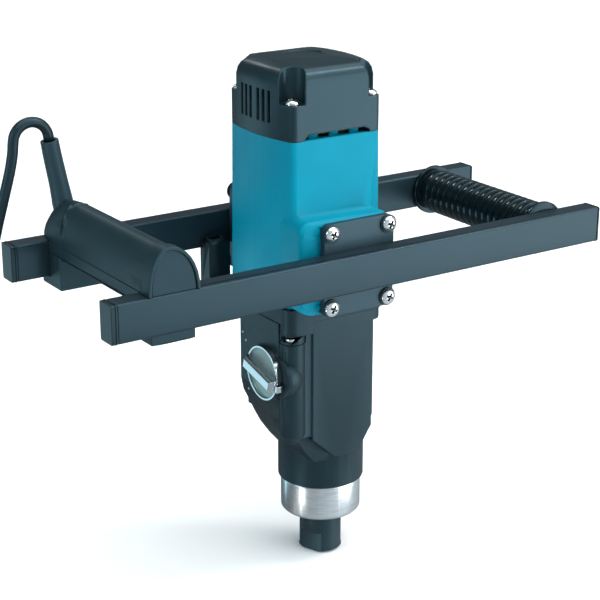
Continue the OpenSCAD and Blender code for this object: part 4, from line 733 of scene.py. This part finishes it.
# %% Two finishes on one knob
DISH_X, DISH_R, DISH_TOLERANCE, KNOB_MID = -56.8, 18.2, 0.3, Vector((0, -15, 151.5))
FACES_LEFT = -0.9  # the most that the X of a face's normal may be
knob = rounded_copy("speed_knob", "rounded_speed_knob", 0.2)
knob.data.materials.append(knob_face)
for face in knob.data.polygons:
    middle = face.center / MM
    on_the_floor = abs(middle.x - DISH_X) < DISH_TOLERANCE and face.normal.x < FACES_LEFT
    if on_the_floor and (middle - KNOB_MID).yz.length < DISH_R:
        face.material_index = 1
print("satin faces on the knob:", sum(face.material_index for face in knob.data.polygons))

# %% [markdown]
# ## Dome and pins beside the knob
# The casting bulges out as a dome between the knob and the corner column. It is a ball of rings, whose points
# stop at a plane behind the knob's disc, so that the knob turns clear of it. Three locating pins of ground
# steel stand half a millimetre out of the left face.

# %% Dome behind the knob
DOME_MID, DOME_R, DOME_FLAT_X = Vector((-51.2, -28.4, 151.3)), 14.5, -54.3
DOME_STEPS, DOME_SIDES = 16, 40
dome_rings = []
for i in range(1, DOME_STEPS):
    polar = math.pi * i / DOME_STEPS
    reach, height = DOME_R * math.sin(polar), DOME_MID.z + DOME_R * math.cos(polar)
    dome_rings.append([Vector((max(DOME_MID.x + reach * math.cos(a), DOME_FLAT_X),
        DOME_MID.y + reach * math.sin(a), height)) * MM for a in circle_angles(DOME_SIDES)])
dressed("shift_dome", loft(dome_rings), coated_casting)
print("the dome is", 2 * DOME_R, "mm across")

# %% [markdown]
# A pin end is a short turned profile with a small rounding, and its shank ends inside the casting.

# %% Three pin ends
PIN = [(0.15, 0.5), (0.7, 0.45), (0.95, 0.2), (1.0, -1.5)]
PIN_PLACES = ((-53.5, 16.9, 170.7), (-53.5, 13.0, 165.7), (-52.2, 12.1, 129.8))
facing_left = Matrix.Rotation(math.radians(-90), 4, "Y")
pins = join_parts([spun_parts(PIN, Matrix.Translation(Vector(place) * MM) @ facing_left, sides=20)
    for place in PIN_PLACES])
dressed("locating_pins", pins, ground_steel)
print(len(PIN_PLACES), "pins stand out", PIN[0][1], "mm")

# %% [markdown]
# ## Joints that show as dark lines
# Where two mouldings meet there is a gap of a few tenths of a millimetre, and at this size it shows only as a
# dark line. A thin dark thread lies in the gap: round the end face of the handle and round the rail's end
# plugs.

# %% Line round the handle's end face
def line_parts(route_mm, radius_mm):
    route = [Vector(p) * MM for p in route_mm]
    return loft(tube_rings(route, [radius_mm * MM] * len(route), sides=8))


HANDLE_X, HANDLE_LEFT, HANDLE_RIGHT, HANDLE_RISE = -161.5, 13.2, 19.4, 28
HANDLE_END_Y, ARC_FOOT_Z, INSET, ARC_STEPS, ARC_LINE_R = -76.95, 245.4, 1.15, 40, 0.4
end_arc = []
for i in range(ARC_STEPS + 1):
    a = math.pi * i / ARC_STEPS
    reach = (HANDLE_RIGHT if math.cos(a) > 0 else HANDLE_LEFT) - INSET
    rise = (HANDLE_RISE - INSET) * math.sin(a)
    end_arc.append((HANDLE_X + reach * math.cos(a), HANDLE_END_Y, ARC_FOOT_Z + rise))
dressed("handle_end_joint", line_parts(end_arc, ARC_LINE_R), seam_shadow)
print("the line on the handle's end is", len(end_arc), "points long")

# %% [markdown]
# The end plugs sit in the rails. Their joints are drawn 3 mm from the left end and 1.5 mm from the right one,
# as loops with rounded corners that lie a fiftieth of a millimetre out of the tube's faces.

# %% Lines round the rail's end plugs
RAIL_Y, RAIL_Z, RAIL_ENDS = (62.98, 78.02), (219.98, 245.02), (-198.5, 183.0)
CORNER_R, CORNER_STEPS, RAIL_LINE_R = 1.2, 3, 0.22


def rail_loop(x, side):
    (y0, y1), (z0, z1), r = RAIL_Y, RAIL_Z, CORNER_R
    loop = []
    corners = ((y1 - r, z1 - r, 0), (y0 + r, z1 - r, 90), (y0 + r, z0 + r, 180), (y1 - r, z0 + r, 270))
    for cy, cz, start in corners:
        for step in range(CORNER_STEPS + 1):
            a = math.radians(start + 90 * step / CORNER_STEPS)
            loop.append((x, side * (cy + r * math.cos(a)), cz + r * math.sin(a)))
    return loop + loop[:1]


end_lines = [line_parts(rail_loop(x, side), RAIL_LINE_R) for side in (-1, 1) for x in RAIL_ENDS]
dressed("rail_end_joints", join_parts(end_lines), seam_shadow)
print("dark lines round", len(end_lines), "rail ends")

# %% [markdown]
# ## Floor
# The drill stands in a white studio. The floor is plain pale paper, half a millimetre below the spindle's tip,
# and takes a soft shadow. No metal mirrors it and it casts no shadow, so that the low lamps can shine from
# below.

# %% Plane of pale paper
FLOOR_HALF, FLOOR_Z = 6, -0.0005
floor = mesh_object("studio_floor", [(x, y, FLOOR_Z) for x, y in
    ((-FLOOR_HALF, -FLOOR_HALF), (FLOOR_HALF, -FLOOR_HALF), (FLOOR_HALF, FLOOR_HALF), (-FLOOR_HALF, FLOOR_HALF))],
    [(0, 1, 2, 3)])
floor_finish = bpy.data.materials.new("pale_floor")
floor_finish.use_nodes = True
floor_shader = floor_finish.node_tree.nodes["Principled BSDF"]
floor_shader.inputs["Base Color"].default_value = linear("#F8F8F8")
floor_shader.inputs["Roughness"].default_value = 0.9
floor.data.materials.append(floor_finish)
floor.visible_glossy = False
floor.visible_shadow = False
print("the floor is", 2 * FLOOR_HALF, "m wide")

# %% [markdown]
# ## Backdrop
# Round the floor stands a white dome that only the camera sees, so the background is as white from every side
# as it is in the photograph, and no surface of the drill is lit by it. Its rings are 6 degrees apart, from just
# below the floor to nearly overhead, where a flat lid closes it.

# %% White backdrop that only the camera sees
BACKDROP_R, BACKDROP_SIDES, BACKDROP_RINGS, BACKDROP_STEP, BACKDROP_START = 5.6, 48, 15, 6, -1
backdrop_rings = [[Vector((BACKDROP_R * math.cos(rise) * math.cos(a), BACKDROP_R * math.cos(rise) * math.sin(a),
    BACKDROP_R * math.sin(rise))) for a in circle_angles(BACKDROP_SIDES)]
    for rise in (math.radians(BACKDROP_STEP * i + BACKDROP_START) for i in range(BACKDROP_RINGS))]
backdrop = mesh_object("studio_backdrop", *loft(backdrop_rings))
backdrop_finish = bpy.data.materials.new("lit_backdrop")
backdrop_finish.use_nodes = True
backdrop_shader = backdrop_finish.node_tree.nodes["Principled BSDF"]
backdrop_shader.inputs["Base Color"].default_value = linear("#000000")
backdrop_shader.inputs["Emission Color"].default_value = linear("#FFFFFF")
backdrop_shader.inputs["Emission Strength"].default_value = 1.0
backdrop.data.materials.append(backdrop_finish)
backdrop.visible_diffuse = backdrop.visible_glossy = backdrop.visible_shadow = False
print("the backdrop is", 2 * BACKDROP_R, "m across")

# %% [markdown]
# ## Light of the room
# The room's white walls send light back from everywhere, most of it from the front right and below, where the
# lamps stand. The room behind the drill stays dim, so the tops of the rails look almost black.

# %% Room light that is stronger from the front
ROOM_WAY = (0.45, -0.80, -0.35)
DIM_AT, DIM, BRIGHT = -0.6, 0.14, 0.9
world = bpy.data.worlds.new("studio_room")
bpy.context.scene.world = world
world.use_nodes = True
room = world.node_tree
toward = add_node(room, "ShaderNodeTexCoord").outputs["Generated"]
front_share = add_node(room, "ShaderNodeVectorMath", {1: ROOM_WAY}, {0: toward}, operation="DOT_PRODUCT")
level = add_node(room, "ShaderNodeMapRange",
    {"From Min": DIM_AT, "From Max": 1.0, "To Min": DIM, "To Max": BRIGHT}, {"Value": front_share.outputs["Value"]})
room.nodes["Background"].inputs["Color"].default_value = linear("#E2F0F6")
room.links.new(level.outputs["Result"], room.nodes["Background"].inputs["Strength"])
print("room light between", DIM, "and", BRIGHT)

# %% [markdown]
# ## Lamps
# Every lamp is there for a highlight that the photograph shows. A big softbox low at the front right is what
# the flat front faces mirror, so they look pale and satin. A tall one at the left gives the round parts their
# second highlight, and one behind at the left is what the left faces mirror; both shine a little cool, as the
# shaded faces look. A narrow strip low at the left draws the white band on the neck ring, a small lamp above
# the rear rail lights the ribs of the grip, and one high at the right the top edges of the rails. A wide soft
# ceiling light keeps the floor white.

# %% Softboxes
COOL_TONE = "#BEEAF6"
DRILL_MID, RING_MID, GRIP_MID = (0, 0, 0.2), (0, 0, 0.05), (0.145, 0, 0.23)


def softbox(name, place, target, width, height, power, tone="#FFFFFF"):
    data = bpy.data.lights.new(name, "AREA")
    data.shape, data.size, data.size_y, data.energy = "RECTANGLE", width, height, power
    data.color = linear(tone)[:3]
    lamp = bpy.data.objects.new(name, data)
    lamp.location = place
    lamp.rotation_euler = (Vector(target) - Vector(place)).to_track_quat("-Z", "Y").to_euler()
    lamp.visible_camera = False
    bpy.context.scene.collection.objects.link(lamp)


softbox("front_right_softbox", (1.15, -1.4, 0.15), DRILL_MID, width=1.3, height=1.6, power=25)
softbox("left_softbox", (-1.6, 0.2, 0.75), DRILL_MID, width=0.6, height=1.0, power=10.5, tone=COOL_TONE)
softbox("low_left_strip", (-1.5, 0.0, -0.45), RING_MID, width=0.2, height=0.5, power=5)
softbox("rear_spark", (0.11, 1.42, 1.34), GRIP_MID, width=0.2, height=0.2, power=2.5)
softbox("back_left_softbox", (-1.05, 1.6, -0.3), DRILL_MID, width=0.9, height=0.9, power=4.2, tone=COOL_TONE)
softbox("top_strip", (0.95, -0.6, 1.6), DRILL_MID, width=0.4, height=0.4, power=10)
print("softboxes give", round(sum(lamp.energy for lamp in bpy.data.lights), 1), "W in all")

# %% [markdown]
# The ceiling light is a sun with a very wide disc, which shines evenly on the whole floor. The Standard view
# shows white as white and keeps the colours as they were read off.

# %% Ceiling light
ceiling = bpy.data.lights.new("ceiling_light", "SUN")
ceiling.energy, ceiling.angle = 3.2, math.radians(80)
ceiling_lamp = bpy.data.objects.new("ceiling_light", ceiling)
ceiling_lamp.rotation_euler = Vector((0.15, -0.25, 1)).to_track_quat("Z", "Y").to_euler()
bpy.context.scene.collection.objects.link(ceiling_lamp)
bpy.context.scene.view_settings.view_transform = "Standard"
